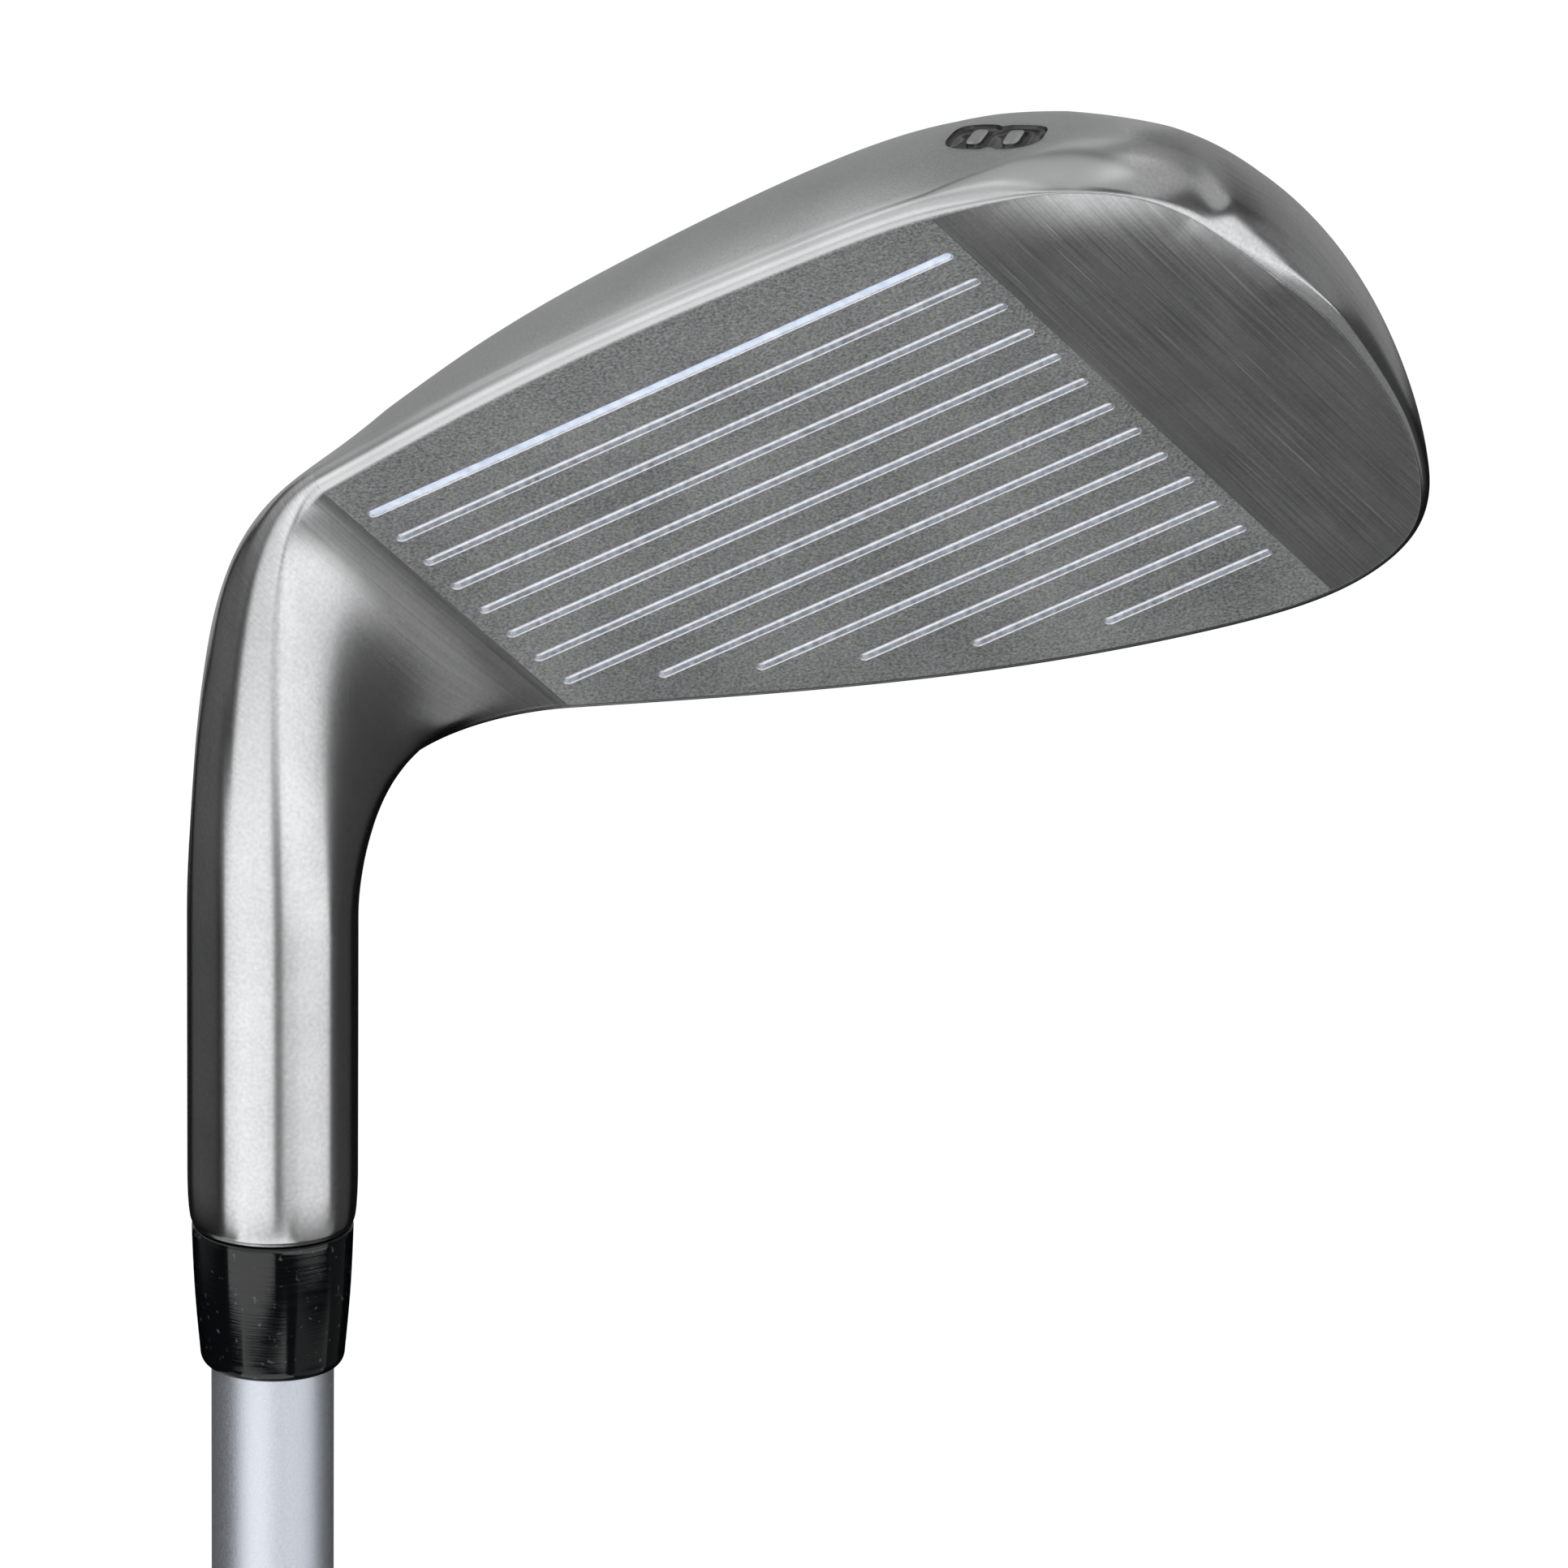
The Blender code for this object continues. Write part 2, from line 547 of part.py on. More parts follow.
def grip_profile():
    """Profile of the rubber sleeve, its butt end at height 0."""
    recess = CAP_SKIRT_LENGTH + FIT_GAP
    knots = np.array((0.0, GRIP_HAND_REACH, GRIP_LENGTH / 2, GRIP_LENGTH - GRIP_EDGE_ROUND))
    middle = (GRIP_HAND_RADIUS + GRIP_MOUTH_RADIUS) / 2
    radii = np.array((GRIP_BUTT_RADIUS, GRIP_HAND_RADIUS, middle, GRIP_MOUTH_RADIUS))[:, None]
    height = np.linspace(0, knots[-1], GRIP_STEPS)
    radius = smooth_through(knots, radii, height)[:, 0]
    mouth = quarter_round(GRIP_MOUTH_RADIUS - GRIP_EDGE_ROUND, knots[-1], GRIP_EDGE_ROUND, 0.0)
    lip = GRIP_LENGTH - GRIP_MOUTH_LIP
    return [
        (CAP_SKIRT_RADIUS + FIT_GAP, 0.0),
        *zip(radius, height),
        *mouth[1:],
        (SNUG_BORE, GRIP_LENGTH),
        (SNUG_BORE, lip),
        (GRIP_BORE, lip),
        (GRIP_BORE, recess),
        (CAP_SKIRT_RADIUS + FIT_GAP, recess),
    ]


def bore_profile():
    """Profile of the hole in the hosel, open at its end."""
    return [
        (0.0, -HOSEL_TAPER),
        (HOSEL_BORE, -HOSEL_TAPER),
        (HOSEL_BORE, BORE_DEPTH),
        (0.0, BORE_DEPTH),
    ]


for leftover in list(bpy.data.objects):
    bpy.data.objects.remove(leftover)

club = bpy.data.objects.new("club", None)
bpy.context.scene.collection.objects.link(club)

# The ground under the sole crosses the shaft axis at the club's length, and the head is placed by that.
sole_drop = -float((blade_strip() @ ADDRESS_UP).min()) / math.sin(LIE)
head_height = CLUB_LENGTH - sole_drop
hosel_end = head_height - HOSEL_REACH
shaft_butt = CAP_THICKNESS + CAP_SKIRT_LENGTH + FIT_GAP
shaft_tip = hosel_end + BORE_DEPTH - PIN_HEAD_THICKNESS - 2 * FIT_GAP
grip_butt = CAP_THICKNESS + FIT_GAP
tape_butt = grip_butt + CAP_SKIRT_LENGTH + 2 * FIT_GAP
tape_top = grip_butt + GRIP_LENGTH - GRIP_MOUTH_LIP - FIT_GAP

steel = material("satin_steel", (0.55, 0.55, 0.56), 0.32, 1.0)
head = add_object("club_head", head_mesh(), head_height, steel)
cut(head, add_object("groove_cutters", groove_cutters(), head_height))
cut(head, add_object("hollow_cutter", hollow_cutter(), head_height))
cut(head, add_object("bore_cutter", turned(bore_profile()), hosel_end))

brass = material("turned_brass", (0.78, 0.57, 0.24), 0.35, 1.0)
add_object("tip_weight", turned(tip_weight_profile()), shaft_tip, brass)

black_plastic = material("black_plastic", (0.012, 0.012, 0.014), 0.15, 0.0)
add_object("ferrule", turned(ferrule_profile()), hosel_end - FIT_GAP, black_plastic)

silver_paint = material("silver_paint", (0.56, 0.57, 0.59), 0.35, 0.7)
add_object("shaft", turned(shaft_profile(shaft_tip - shaft_butt)), shaft_butt, silver_paint)

tape_paper = material("tape_paper", (0.82, 0.79, 0.70), 0.8, 0.0)
add_object("grip_tape", turned(tape_profile(tape_top - tape_butt)), tape_butt, tape_paper)

grip_rubber = material("grip_rubber", (0.02, 0.02, 0.021), 0.75, 0.0)
add_object("grip", turned(grip_profile()), grip_butt, grip_rubber)

cap_rubber = material("cap_rubber", (0.025, 0.025, 0.026), 0.6, 0.0)
add_object("grip_cap", turned(cap_profile()), 0.0, cap_rubber)
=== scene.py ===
import math

import bmesh
import bpy
import numpy as np
from mathutils import Matrix, Vector
from mathutils.geometry import delaunay_2d_cdt


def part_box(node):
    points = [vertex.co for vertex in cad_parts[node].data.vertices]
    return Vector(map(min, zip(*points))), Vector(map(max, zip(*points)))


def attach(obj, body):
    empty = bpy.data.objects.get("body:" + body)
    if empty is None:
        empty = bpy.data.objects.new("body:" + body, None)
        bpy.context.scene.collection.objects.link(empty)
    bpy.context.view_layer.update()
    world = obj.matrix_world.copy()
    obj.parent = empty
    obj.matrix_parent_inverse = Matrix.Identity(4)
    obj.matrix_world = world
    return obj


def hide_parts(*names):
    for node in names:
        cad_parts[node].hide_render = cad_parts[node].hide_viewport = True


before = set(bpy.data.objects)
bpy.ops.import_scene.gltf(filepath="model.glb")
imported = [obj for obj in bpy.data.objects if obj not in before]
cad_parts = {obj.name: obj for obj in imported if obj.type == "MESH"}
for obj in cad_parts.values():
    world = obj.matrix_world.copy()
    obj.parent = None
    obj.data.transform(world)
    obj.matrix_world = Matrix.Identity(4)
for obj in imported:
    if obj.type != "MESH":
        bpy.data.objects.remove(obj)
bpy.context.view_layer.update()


# Club head. One steel casting: a round hosel bends into a lofted blade, with a shallow hollow in its
# back. The face is blasted matt between the ends of the grooves, and the rest is brushed by hand,
# round the hosel and the bend, up the toe end of the face and along the rim.
MM = 0.001
LIE = math.radians(61)
LOFT = math.radians(40)
ALONG_GROOVES = np.array((math.sin(LIE), 0, math.cos(LIE)))
FACE_UP = np.array((math.cos(LOFT) * math.cos(LIE), math.sin(LOFT), -math.cos(LOFT) * math.sin(LIE)))
INTO_FACE = np.array((-math.sin(LOFT) * math.cos(LIE), math.cos(LOFT), math.sin(LOFT) * math.sin(LIE)))
HOSEL_REACH = 56.1 * MM           # from the lowest groove's heel end down to the end of the hosel
HOSEL_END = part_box("club_head")[0].z
HEEL_OF_GROOVES = np.array((7.6 * MM, 0, HOSEL_END + HOSEL_REACH))

# The edge of the face from the heel along the leading edge, round the toe and back along the topline:
# distance along the grooves, height up the face, width of the sole or wall behind, lean of that wall
# at the face and at the back, and distance in to the flat of the back.
EDGE = np.array((
    (-1.2, -4.3, 12.4, -36.0, -51.0, 15.8),
    (11.0, -5.6, 14.8, -24.0, -52.0, 18.0),
    (26.0, -6.2, 16.5, -18.5, -52.0, 20.0),
    (41.3, -5.7, 17.5, -15.0, -52.0, 21.0),
    (52.3, -4.5, 17.2, -17.0, -52.0, 20.5),
    (60.8, -1.2, 14.8, -20.0, -51.0, 18.4),
    (65.8, 3.6, 12.4, -16.0, -48.0, 15.6),
    (68.4, 11.5, 12.1, -3.0, -43.0, 13.2),
    (69.0, 20.5, 11.5, 7.0, -38.0, 10.4),
    (67.8, 31.0, 8.6, 8.0, -28.0, 7.0),
    (65.1, 40.3, 5.4, 1.0, -18.0, 4.4),
    (60.5, 47.2, 4.4, -2.0, -10.0, 2.9),
    (53.8, 49.8, 4.0, -2.0, -8.0, 2.5),
    (43.5, 48.6, 3.9, -2.0, -8.0, 2.4),
    (23.2, 41.1, 3.9, -2.0, -8.0, 2.4),
    (-1.2, 27.7, 3.9, -2.0, -8.0, 2.4),
)) * (MM, MM, MM, math.pi / 180, math.pi / 180, MM)
SPINE = np.array(((-1.2, 14.0), (48.0, 26.0))) * MM
BLAST_TOE = 52.15 * MM            # where the blasted part of the face ends at the toe
FRONT_ROUND = 1.1 * MM
REAR_ROUND = 1.8 * MM
REAR_HEADING = math.radians(-100)
BLADE_DEPTH = 6.6 * MM
BEVEL, SHOULDER, WALL, REAR, MUSCLE, FACE, BACK = 7, 11, 24, 12, 18, 30, 18
FRONT = BEVEL + SHOULDER
FLAT_HEM = 0.05 * MM              # narrow strip inside the edge that keeps the face flat in its light


def on_blade(along, up, depth):
    """Point of the head, from its place on the face and its depth behind the face."""
    along, up, depth = np.broadcast_arrays(along, up, depth)
    return (HEEL_OF_GROOVES + along[..., None] * ALONG_GROOVES + up[..., None] * FACE_UP
            + depth[..., None] * INTO_FACE)


def smooth_through(knots, rows, places):
    """Natural cubic curve through the rows, one at each knot, read at the given places."""
    step = np.diff(knots)
    slope = np.diff(rows, axis=0) / step[:, None]
    system = np.eye(len(knots))
    bend = np.zeros_like(rows)
    for i in range(1, len(knots) - 1):
        system[i, i - 1:i + 2] = step[i - 1], 2 * (step[i - 1] + step[i]), step[i]
        bend[i] = 6 * (slope[i] - slope[i - 1])
    second = np.linalg.solve(system, bend)
    left = np.clip(np.searchsorted(knots, places) - 1, 0, len(knots) - 2)
    span = step[left][:, None]
    after = (places - knots[left])[:, None] / span
    before = 1 - after
    curve = ((before**3 - before) * second[left] + (after**3 - after) * second[left + 1]) * span**2 / 6
    return before * rows[left] + after * rows[left + 1] + curve


def hermite(start, leave, end, arrive, t):
    """Cubic from start to end that leaves and arrives along the given directions."""
    return ((2 * t**3 - 3 * t**2 + 1) * start + (t**3 - 2 * t**2 + t) * leave
            + (3 * t**2 - 2 * t**3) * end + (t**3 - t**2) * arrive)


def arc(start, end, length, steps):
    """Steps outwards and backwards along arcs whose heading turns from start to end, one per column."""
    heading = start[:, None] + (end - start)[:, None] * (np.arange(steps) + 0.5) / steps
    return np.stack((np.sin(heading), np.cos(heading)), axis=2) * (length / steps)[:, None, None]


def between(start, end, steps):
    """Points strictly between two ends."""
    return start + np.arange(1, steps)[:, None] / steps * (end - start)


edge_way = np.append(0, np.cumsum(np.linalg.norm(np.diff(EDGE[:, :2], axis=0), axis=1)))
trial = np.linspace(0, edge_way[-1], 8001)
past_blast = trial[smooth_through(edge_way, EDGE, trial)[:, 0] > BLAST_TOE]
LEADING, TOE, TOPLINE = 96, 192, 96
columns = np.concatenate((
    np.linspace(0, past_blast[0], LEADING, endpoint=False),
    np.linspace(past_blast[0], past_blast[-1], TOE, endpoint=False),
    np.linspace(past_blast[-1], edge_way[-1], TOPLINE + 1),
))
edge = smooth_through(edge_way, EDGE, columns)
edge_place = edge[:, :2]
spine_way = SPINE[1] - SPINE[0]
spine_share = np.clip((edge_place - SPINE[0]) @ spine_way / (spine_way @ spine_way), 0, 1)
rim_inwards = SPINE[0] + spine_share[:, None] * spine_way - edge_place
rim_inwards /= np.linalg.norm(rim_inwards, axis=1)[:, None]

# The brush rolls the toe end of the face over a little as it nears the leading edge.
ROLL_REACH = 5.5 * MM
ROLL_TILT = math.radians(11)
toe_way = (columns - past_blast[0]) / (past_blast[-1] - past_blast[0])
roll = ROLL_TILT * np.interp(toe_way, (0, 0.05, 0.14, 0.28, 0.42, 1), (0, 0.3, 1, 1, 0, 0))
roll_drop = roll * ROLL_REACH / 2

# The leading edge is a soft round. Grinding has made it crisp where it turns up to the toe, and has cut a
# flat bevel round the toe: share of the way round the toe, width of the bevel, its slope at the face and
# at the wall, how far the face is cut back, and distance along the wall that is eased in from there.
TOE_EDGE = np.array((
    (0.000, 1.15, 90, 46, 0.25, 0.0),
    (0.030, 0.95, 87, 46, 0.32, 0.6),
    (0.080, 0.50, 80, 50, 0.36, 1.5),
    (0.140, 0.10, 70, 60, 0.43, 4.0),
    (0.220, 0.08, 68, 60, 0.48, 4.5),
    (0.297, 0.12, 62, 54, 0.68, 5.3),
    (0.322, 0.30, 60, 51, 0.75, 2.2),
    (0.360, 0.67, 60, 50, 0.72, 2.1),
    (0.400, 1.00, 60, 50, 0.55, 2.7),
    (0.440, 1.15, 62, 53, 0.35, 2.5),
    (0.500, 1.00, 66, 57, -0.05, 1.4),
    (0.600, 0.65, 68, 55, -0.20, 1.0),
    (0.700, 0.40, 70, 52, -0.40, 0.5),
    (0.850, 0.30, 72, 50, -0.30, 0.3),
    (1.000, 0.86, 90, 45, 0.00, 0.0),
)) * (1, MM, math.pi / 180, math.pi / 180, MM, MM)
blend = np.hanning(11)[1:-1]
toe_edge = [np.interp(toe_way, TOE_EDGE[:, 0], side) for side in TOE_EDGE.T[1:]]
toe_edge = [np.convolve(np.pad(side, len(blend) // 2, "edge"), blend / blend.sum(), "valid")
            for side in toe_edge]
bevel, bevel_start, bevel_end, cut_back, eased = toe_edge

_, _, wall, front_lean, back_lean, rim = edge.T
wall_turn = (back_lean - front_lean) / wall
eased_lean = front_lean + wall_turn * eased
eased_out = FRONT_ROUND * np.cos(front_lean) + (np.cos(front_lean) - np.cos(eased_lean)) / wall_turn
eased_back = FRONT_ROUND * (1 - np.sin(front_lean)) + (np.sin(eased_lean) - np.sin(front_lean)) / wall_turn
bevel_run = arc(np.minimum(bevel_start, math.pi / 2 - roll), bevel_end, bevel, BEVEL)
bevel_out, bevel_back = bevel_run.sum(axis=1).T
gap_out, gap_back = eased_out - bevel_out + cut_back, eased_back - bevel_back
half_turn = np.arctan2(gap_out, gap_back) - eased_lean
shoulder = np.hypot(gap_out, gap_back) * half_turn / np.sin(half_turn)
shoulder_run = arc(eased_lean + 2 * half_turn, eased_lean, shoulder, SHOULDER)
rim_place = edge_place + cut_back[:, None] * rim_inwards
runs = (
    bevel_run,
    shoulder_run,
    arc(eased_lean, back_lean, wall - eased, WALL),
    arc(back_lean, np.full_like(rim, REAR_HEADING), REAR_ROUND * (back_lean - REAR_HEADING), REAR),
)
profile = np.cumsum(np.concatenate((np.zeros((len(columns), 1, 2)), *runs), axis=1), axis=1)
profile[:, :, 1] += roll_drop[:, None]
muscle_start = profile[:, -1:]
muscle_end = np.stack((-rim, np.full_like(rim, BLADE_DEPTH)), axis=1)[:, None]
muscle_reach = np.linalg.norm(muscle_end - muscle_start, axis=2, keepdims=True)
muscle_step = np.linspace(0, 1, MUSCLE + 1)[1:, None]
muscle = hermite(muscle_start, muscle_reach * (math.sin(REAR_HEADING), math.cos(REAR_HEADING)),
                 muscle_end, muscle_reach * (-1.0, 0.0), muscle_step)
profile = np.concatenate((profile, muscle), axis=1)
wall_place = rim_place[:, None] - profile[:, :, :1] * rim_inwards[:, None]
wall_skin = on_blade(wall_place[:, :, 0], wall_place[:, :, 1], profile[:, :, 1])
hem_place = rim_place + FLAT_HEM * rim_inwards

# Each face of the skin carries a place on the brush map, in metres with x along the brushing, and the
# strength of its grain.
skin = bmesh.new()
brush_map = skin.loops.layers.uv.new("brush")
grain_mark = skin.loops.layers.float.new("grain")
BRUSHED, BLASTED, CUT, WHITE_PAINT, BLACK_PAINT = range(5)


def mark_corners(face, marks, finish):
    """Give the corners of a face their marks on the brush map and their grain."""
    face.material_index = finish
    face.smooth = True
    for corner, (along, across, grain) in zip(face.loops, marks):
        corner[brush_map].uv = along, across
        corner[grain_mark] = grain


def lay(points, marks, finish):
    """Skin a grid of points with four-sided faces."""
    verts = [[skin.verts.new(p) for p in row] for row in points]
    for i in range(1, len(verts)):
        for j in range(1, len(verts[i])):
            ring = ((i - 1, j - 1), (i - 1, j), (i, j), (i, j - 1))
            face = skin.faces.new([verts[a][b] for a, b in ring])
            mark_corners(face, [marks[a, b] for a, b in ring], finish)


def fill(outline, holes, inner, place, finish, grain):
    """Skin a flat outline round its holes with triangles, through loose inner points."""
    loops = [outline, *holes]
    flat = np.vstack((*loops, inner)) / MM
    rings = []
    first = 0
    for loop in loops:
        rings.append(list(range(first, first + len(loop))))
        first += len(loop)
    spots, _, triangles, *_ = delaunay_2d_cdt([Vector(p) for p in flat], [], rings, 2, 1e-7)
    spots = np.array(spots) * MM
    verts = [skin.verts.new(p) for p in place(spots)]
    for triangle in triangles:
        face = skin.faces.new([verts[i] for i in triangle])
        mark_corners(face, [(spots[i, 1], spots[i, 0], grain) for i in triangle], finish)


def with_marks(along, across, grain):
    """Grid of marks for the brush map."""
    return np.stack(np.broadcast_arrays(along, across, grain), axis=-1)


# Walls: a satin sole, and a toe rim and topline brushed along the rim. The blast wraps round the leading
# edge and fades out on the sole.
TOE_END = LEADING + TOE
SATIN_END = LEADING + 40
SATIN_GRAIN = 0.35
BLAST_WRAP = FRONT + 1
NUMBER_FIRST, NUMBER_LAST = LEADING + 1, LEADING + 28
NUMBER_TOP, NUMBER_BOTTOM = BLAST_WRAP, BLAST_WRAP + 17
rows_down = np.append(0, np.cumsum(np.linalg.norm(np.diff(wall_skin, axis=1), axis=2).mean(axis=0)))
wall_streak = np.interp(np.arange(len(columns)), (SATIN_END, SATIN_END + 20, TOE_END), (0.4, 0.9, 0.6))
edge_shine = np.interp(np.arange(len(rows_down)), (FRONT - 4, FRONT + 2), (0.3, 1))
wall_marks = with_marks(columns[:, None], rows_down[None], wall_streak[:, None] * edge_shine)
blast_fade = np.interp(np.arange(len(rows_down)), (0, 2, FRONT, BLAST_WRAP), (0.8, 0.1, 0.1, SATIN_GRAIN))
sole_fade = np.interp(np.arange(len(columns)), (0, 10, NUMBER_LAST, SATIN_END), (0.1, 1, 1, 0.05))
wrap_marks = with_marks(columns[:, None], rows_down[None], blast_fade * sole_fade[:, None])


def lay_wall(first, last, top, bottom, finish):
    """Skin the walls between two columns and two rows."""
    marks = wall_marks if finish == BRUSHED else wrap_marks
    lay(wall_skin[first:last + 1, top:bottom + 1], marks[first:last + 1, top:bottom + 1], finish)


LAST_COLUMN = len(columns) - 1
LAST_ROW = len(rows_down) - 1
lay_wall(0, NUMBER_FIRST, 0, LAST_ROW, BLASTED)
lay_wall(NUMBER_FIRST, NUMBER_LAST, 0, NUMBER_TOP, BLASTED)
lay_wall(NUMBER_FIRST, NUMBER_LAST, NUMBER_BOTTOM, LAST_ROW, BLASTED)
lay_wall(NUMBER_LAST, SATIN_END, 0, LAST_ROW, BLASTED)
lay_wall(SATIN_END, TOE_END, 0, LAST_ROW, BRUSHED)
lay_wall(TOE_END, LAST_COLUMN, 0, BLAST_WRAP, BLASTED)
lay_wall(TOE_END, LAST_COLUMN, BLAST_WRAP, LAST_ROW, BRUSHED)

# Number: an 8 engraved in the sole by the toe, its two loops side by side along the sole, and filled with
# black paint. Its places are distances along the edge of the face and back from that edge.
NUMBER_CENTRE = np.array((58.3, 8.5)) * MM
NUMBER_HALF = np.array(((3.85, -2.55), (0.40, 2.5))) * MM     # half its length and half its height
NUMBER_WAIST = 0.16
NUMBER_EYES = ((-0.385, -0.1), (0.385, -0.1))
NUMBER_EYE_HALF = (0.16, 0.55)
NUMBER_CUT = np.array(((0, 0), (0.02, 0.02), (0.05, 0.08), (0.12, 0.35))) * MM    # inwards and down
number_rows = np.append(0, np.cumsum(np.linalg.norm(np.diff(wall_skin[LEADING + 12], axis=0), axis=1)))


def on_sole(spots, depth):
    """Points of the sole round the number, sunk by a depth."""
    column = np.interp(spots[:, 0], columns, np.arange(len(columns)))
    row = np.interp(spots[:, 1], number_rows, np.arange(len(number_rows)))
    i, j = column.astype(int), row.astype(int)
    p, q = (column - i)[:, None], (row - j)[:, None]
    near = (1 - p) * wall_skin[i, j] + p * wall_skin[i + 1, j]
    far = (1 - p) * wall_skin[i, j + 1] + p * wall_skin[i + 1, j + 1]
    across = ((1 - q) * (wall_skin[i + 1, j] - wall_skin[i, j])
              + q * (wall_skin[i + 1, j + 1] - wall_skin[i, j + 1]))
    inwards = np.cross(across, far - near)
    return (1 - q) * near + q * far - depth * inwards / np.linalg.norm(inwards, axis=1)[:, None]


def number_loop(centre, half, waist, steps):
    """Rounded oblong outline, drawn in at its waist, in even steps."""
    turn = np.linspace(0, 2 * math.pi, 1601)
    along, back = (np.sign(side) * np.sqrt(np.abs(side)) for side in (np.cos(turn), np.sin(turn)))
    back *= 1 - waist * np.exp(-(along / 0.12)**2)
    line = NUMBER_CENTRE + (np.stack((along, back), axis=1) * half + centre) @ NUMBER_HALF
    way = np.append(0, np.cumsum(np.linalg.norm(np.diff(line, axis=0), axis=1)))
    even = np.linspace(0, way[-1], steps, endpoint=False)
    return np.stack([np.interp(even, way, side) for side in line.T], axis=1)


number_outline = number_loop((0, 0), (1, 1), NUMBER_WAIST, 160)
number_eyes = [number_loop(eye, NUMBER_EYE_HALF, 0, 56) for eye in NUMBER_EYES]
number_floor = []
for loop, side in ((number_outline, 1), *((eye, -1) for eye in number_eyes)):
    ahead = np.roll(loop, -1, axis=0) - np.roll(loop, 1, axis=0)
    into = side * np.stack((-ahead[:, 1], ahead[:, 0]), axis=1) / np.linalg.norm(ahead, axis=1)[:, None]
    steps_down = loop[None] + NUMBER_CUT[:, :1, None] * into[None]
    closed = np.concatenate((steps_down, steps_down[:, :1]), axis=1)
    lay(np.array([on_sole(ring, depth) for ring, depth in zip(closed, NUMBER_CUT[:, 1])]),
        with_marks(closed[:, :, 0], closed[:, :, 1], 1), BLACK_PAINT)
    number_floor.append(steps_down[-1])
NO_SPOTS = np.empty((0, 2))
block = np.stack(np.meshgrid(columns[NUMBER_FIRST:NUMBER_LAST + 1],
                             number_rows[NUMBER_TOP:NUMBER_BOTTOM + 1], indexing="ij"), axis=-1)
block_outline = np.vstack((block[:-1, 0], block[-1, :-1], block[:0:-1, -1], block[0, :0:-1]))
block_spots = block[1:-1, 1:-1].reshape(-1, 2)
from_number = (block_spots - NUMBER_CENTRE) @ np.linalg.inv(NUMBER_HALF)
block_spots = block_spots[(from_number**4).sum(axis=1) > 1.6]
fill(block_outline, [number_outline], block_spots, lambda p: on_sole(p, 0), BLASTED, SATIN_GRAIN)
for eye in number_eyes:
    fill(eye, [], NO_SPOTS, lambda p: on_sole(p, 0), BLASTED, SATIN_GRAIN)
fill(number_floor[0], number_floor[1:], NO_SPOTS, lambda p: on_sole(p, NUMBER_CUT[-1, 1]), BLACK_PAINT, 1)

# Hosel and bend: rings that run from the round end of the hosel into the heel end of the blade.
HOSEL_BORE = 4.89 * MM
HOSEL_RADIUS = 6.37 * MM
HOSEL_END_RADIUS = 6.05 * MM
HOSEL_TAPER = 4.1 * MM
HOSEL_STRAIGHT = 24.0 * MM
HOSEL_FRONT = math.radians(16.7)  # where the leading edge runs out, turned from the front of the hosel
BORE_DEPTH = 27.0 * MM
TURN_SHARE = 0.38                 # of the round of the hosel, dealt out by the turning of the heel section
FACE_SHARE = 0.11                 # and to its face; the rest is dealt out by length
SHARE_SPREAD = 1.5 * MM           # along the section, over which these two are smoothed
BEND = 72

# How far the bend keeps to the hosel and to the blade, at even turns from the back of the hosel round by
# the heel and the front.
BEND_KEEPS = ((1.25, 0.60), (0.95, 0.55), (1.05, 0.69), (2.02, 1.41),
              (1.69, 0.73), (1.69, 0.40), (0.90, 0.71), (1.58, 0.89))


def crowded(start, end, steps):
    """Points strictly between two ends, crowded towards both."""
    return start + (1 - np.cos(np.arange(1, steps)[:, None] / steps * math.pi)) / 2 * (end - start)


def heel_loop(sole, top, hem_sole, hem_top):
    """Closed loop at the heel end of the blade: along the sole, up the back, over the topline, down."""
    return np.vstack((sole, between(sole[-1], top[-1], BACK), top[::-1], hem_top,
                      crowded(top[0], sole[0], FACE), hem_sole))


def smoothed_shares(weight, place, step):
    """Share of each step of the closed heel section, from weights at places smoothed along it."""
    apart = np.abs((np.cumsum(step) - step / 2)[:, None] - place)
    apart = np.minimum(apart, step.sum() - apart)
    spread = np.exp(-0.5 * (apart / SHARE_SPREAD)**2)
    spread /= (spread * step[:, None]).sum(axis=0)
    share = step * (spread @ weight)
    return share / share.sum()


hem_points = on_blade(hem_place[:, 0], hem_place[:, 1], roll_drop)
section = heel_loop(wall_skin[0], wall_skin[-1], hem_points[0], hem_points[-1])
onwards = heel_loop(wall_skin[1] - wall_skin[0], wall_skin[-2] - wall_skin[-1],
                    hem_points[1] - hem_points[0], hem_points[-2] - hem_points[-1])
onwards /= np.linalg.norm(onwards, axis=1)[:, None]
section_ahead = np.roll(section, -1, axis=0) - section
section_step = np.linalg.norm(section_ahead, axis=1)
heading = section_ahead / section_step[:, None]
turning = np.arccos(np.clip((heading * np.roll(heading, 1, axis=0)).sum(axis=1), -1, 1))
on_face = section_step * (np.arange(len(section)) >= len(section) - FACE - 2)
by_turning = smoothed_shares(turning, np.cumsum(section_step) - section_step, section_step)
by_face = smoothed_shares(on_face, np.cumsum(section_step) - section_step / 2, section_step)
by_length = section_step / section_step.sum()
round_share = TURN_SHARE * by_turning + FACE_SHARE * by_face + (1 - TURN_SHARE - FACE_SHARE) * by_length
angles = HOSEL_FRONT - 2 * math.pi * (np.cumsum(round_share) - round_share)
around = np.stack((np.sin(angles), -np.cos(angles), np.zeros_like(angles)), axis=1)
taper_turn = np.linspace(0, math.pi / 2, 14)
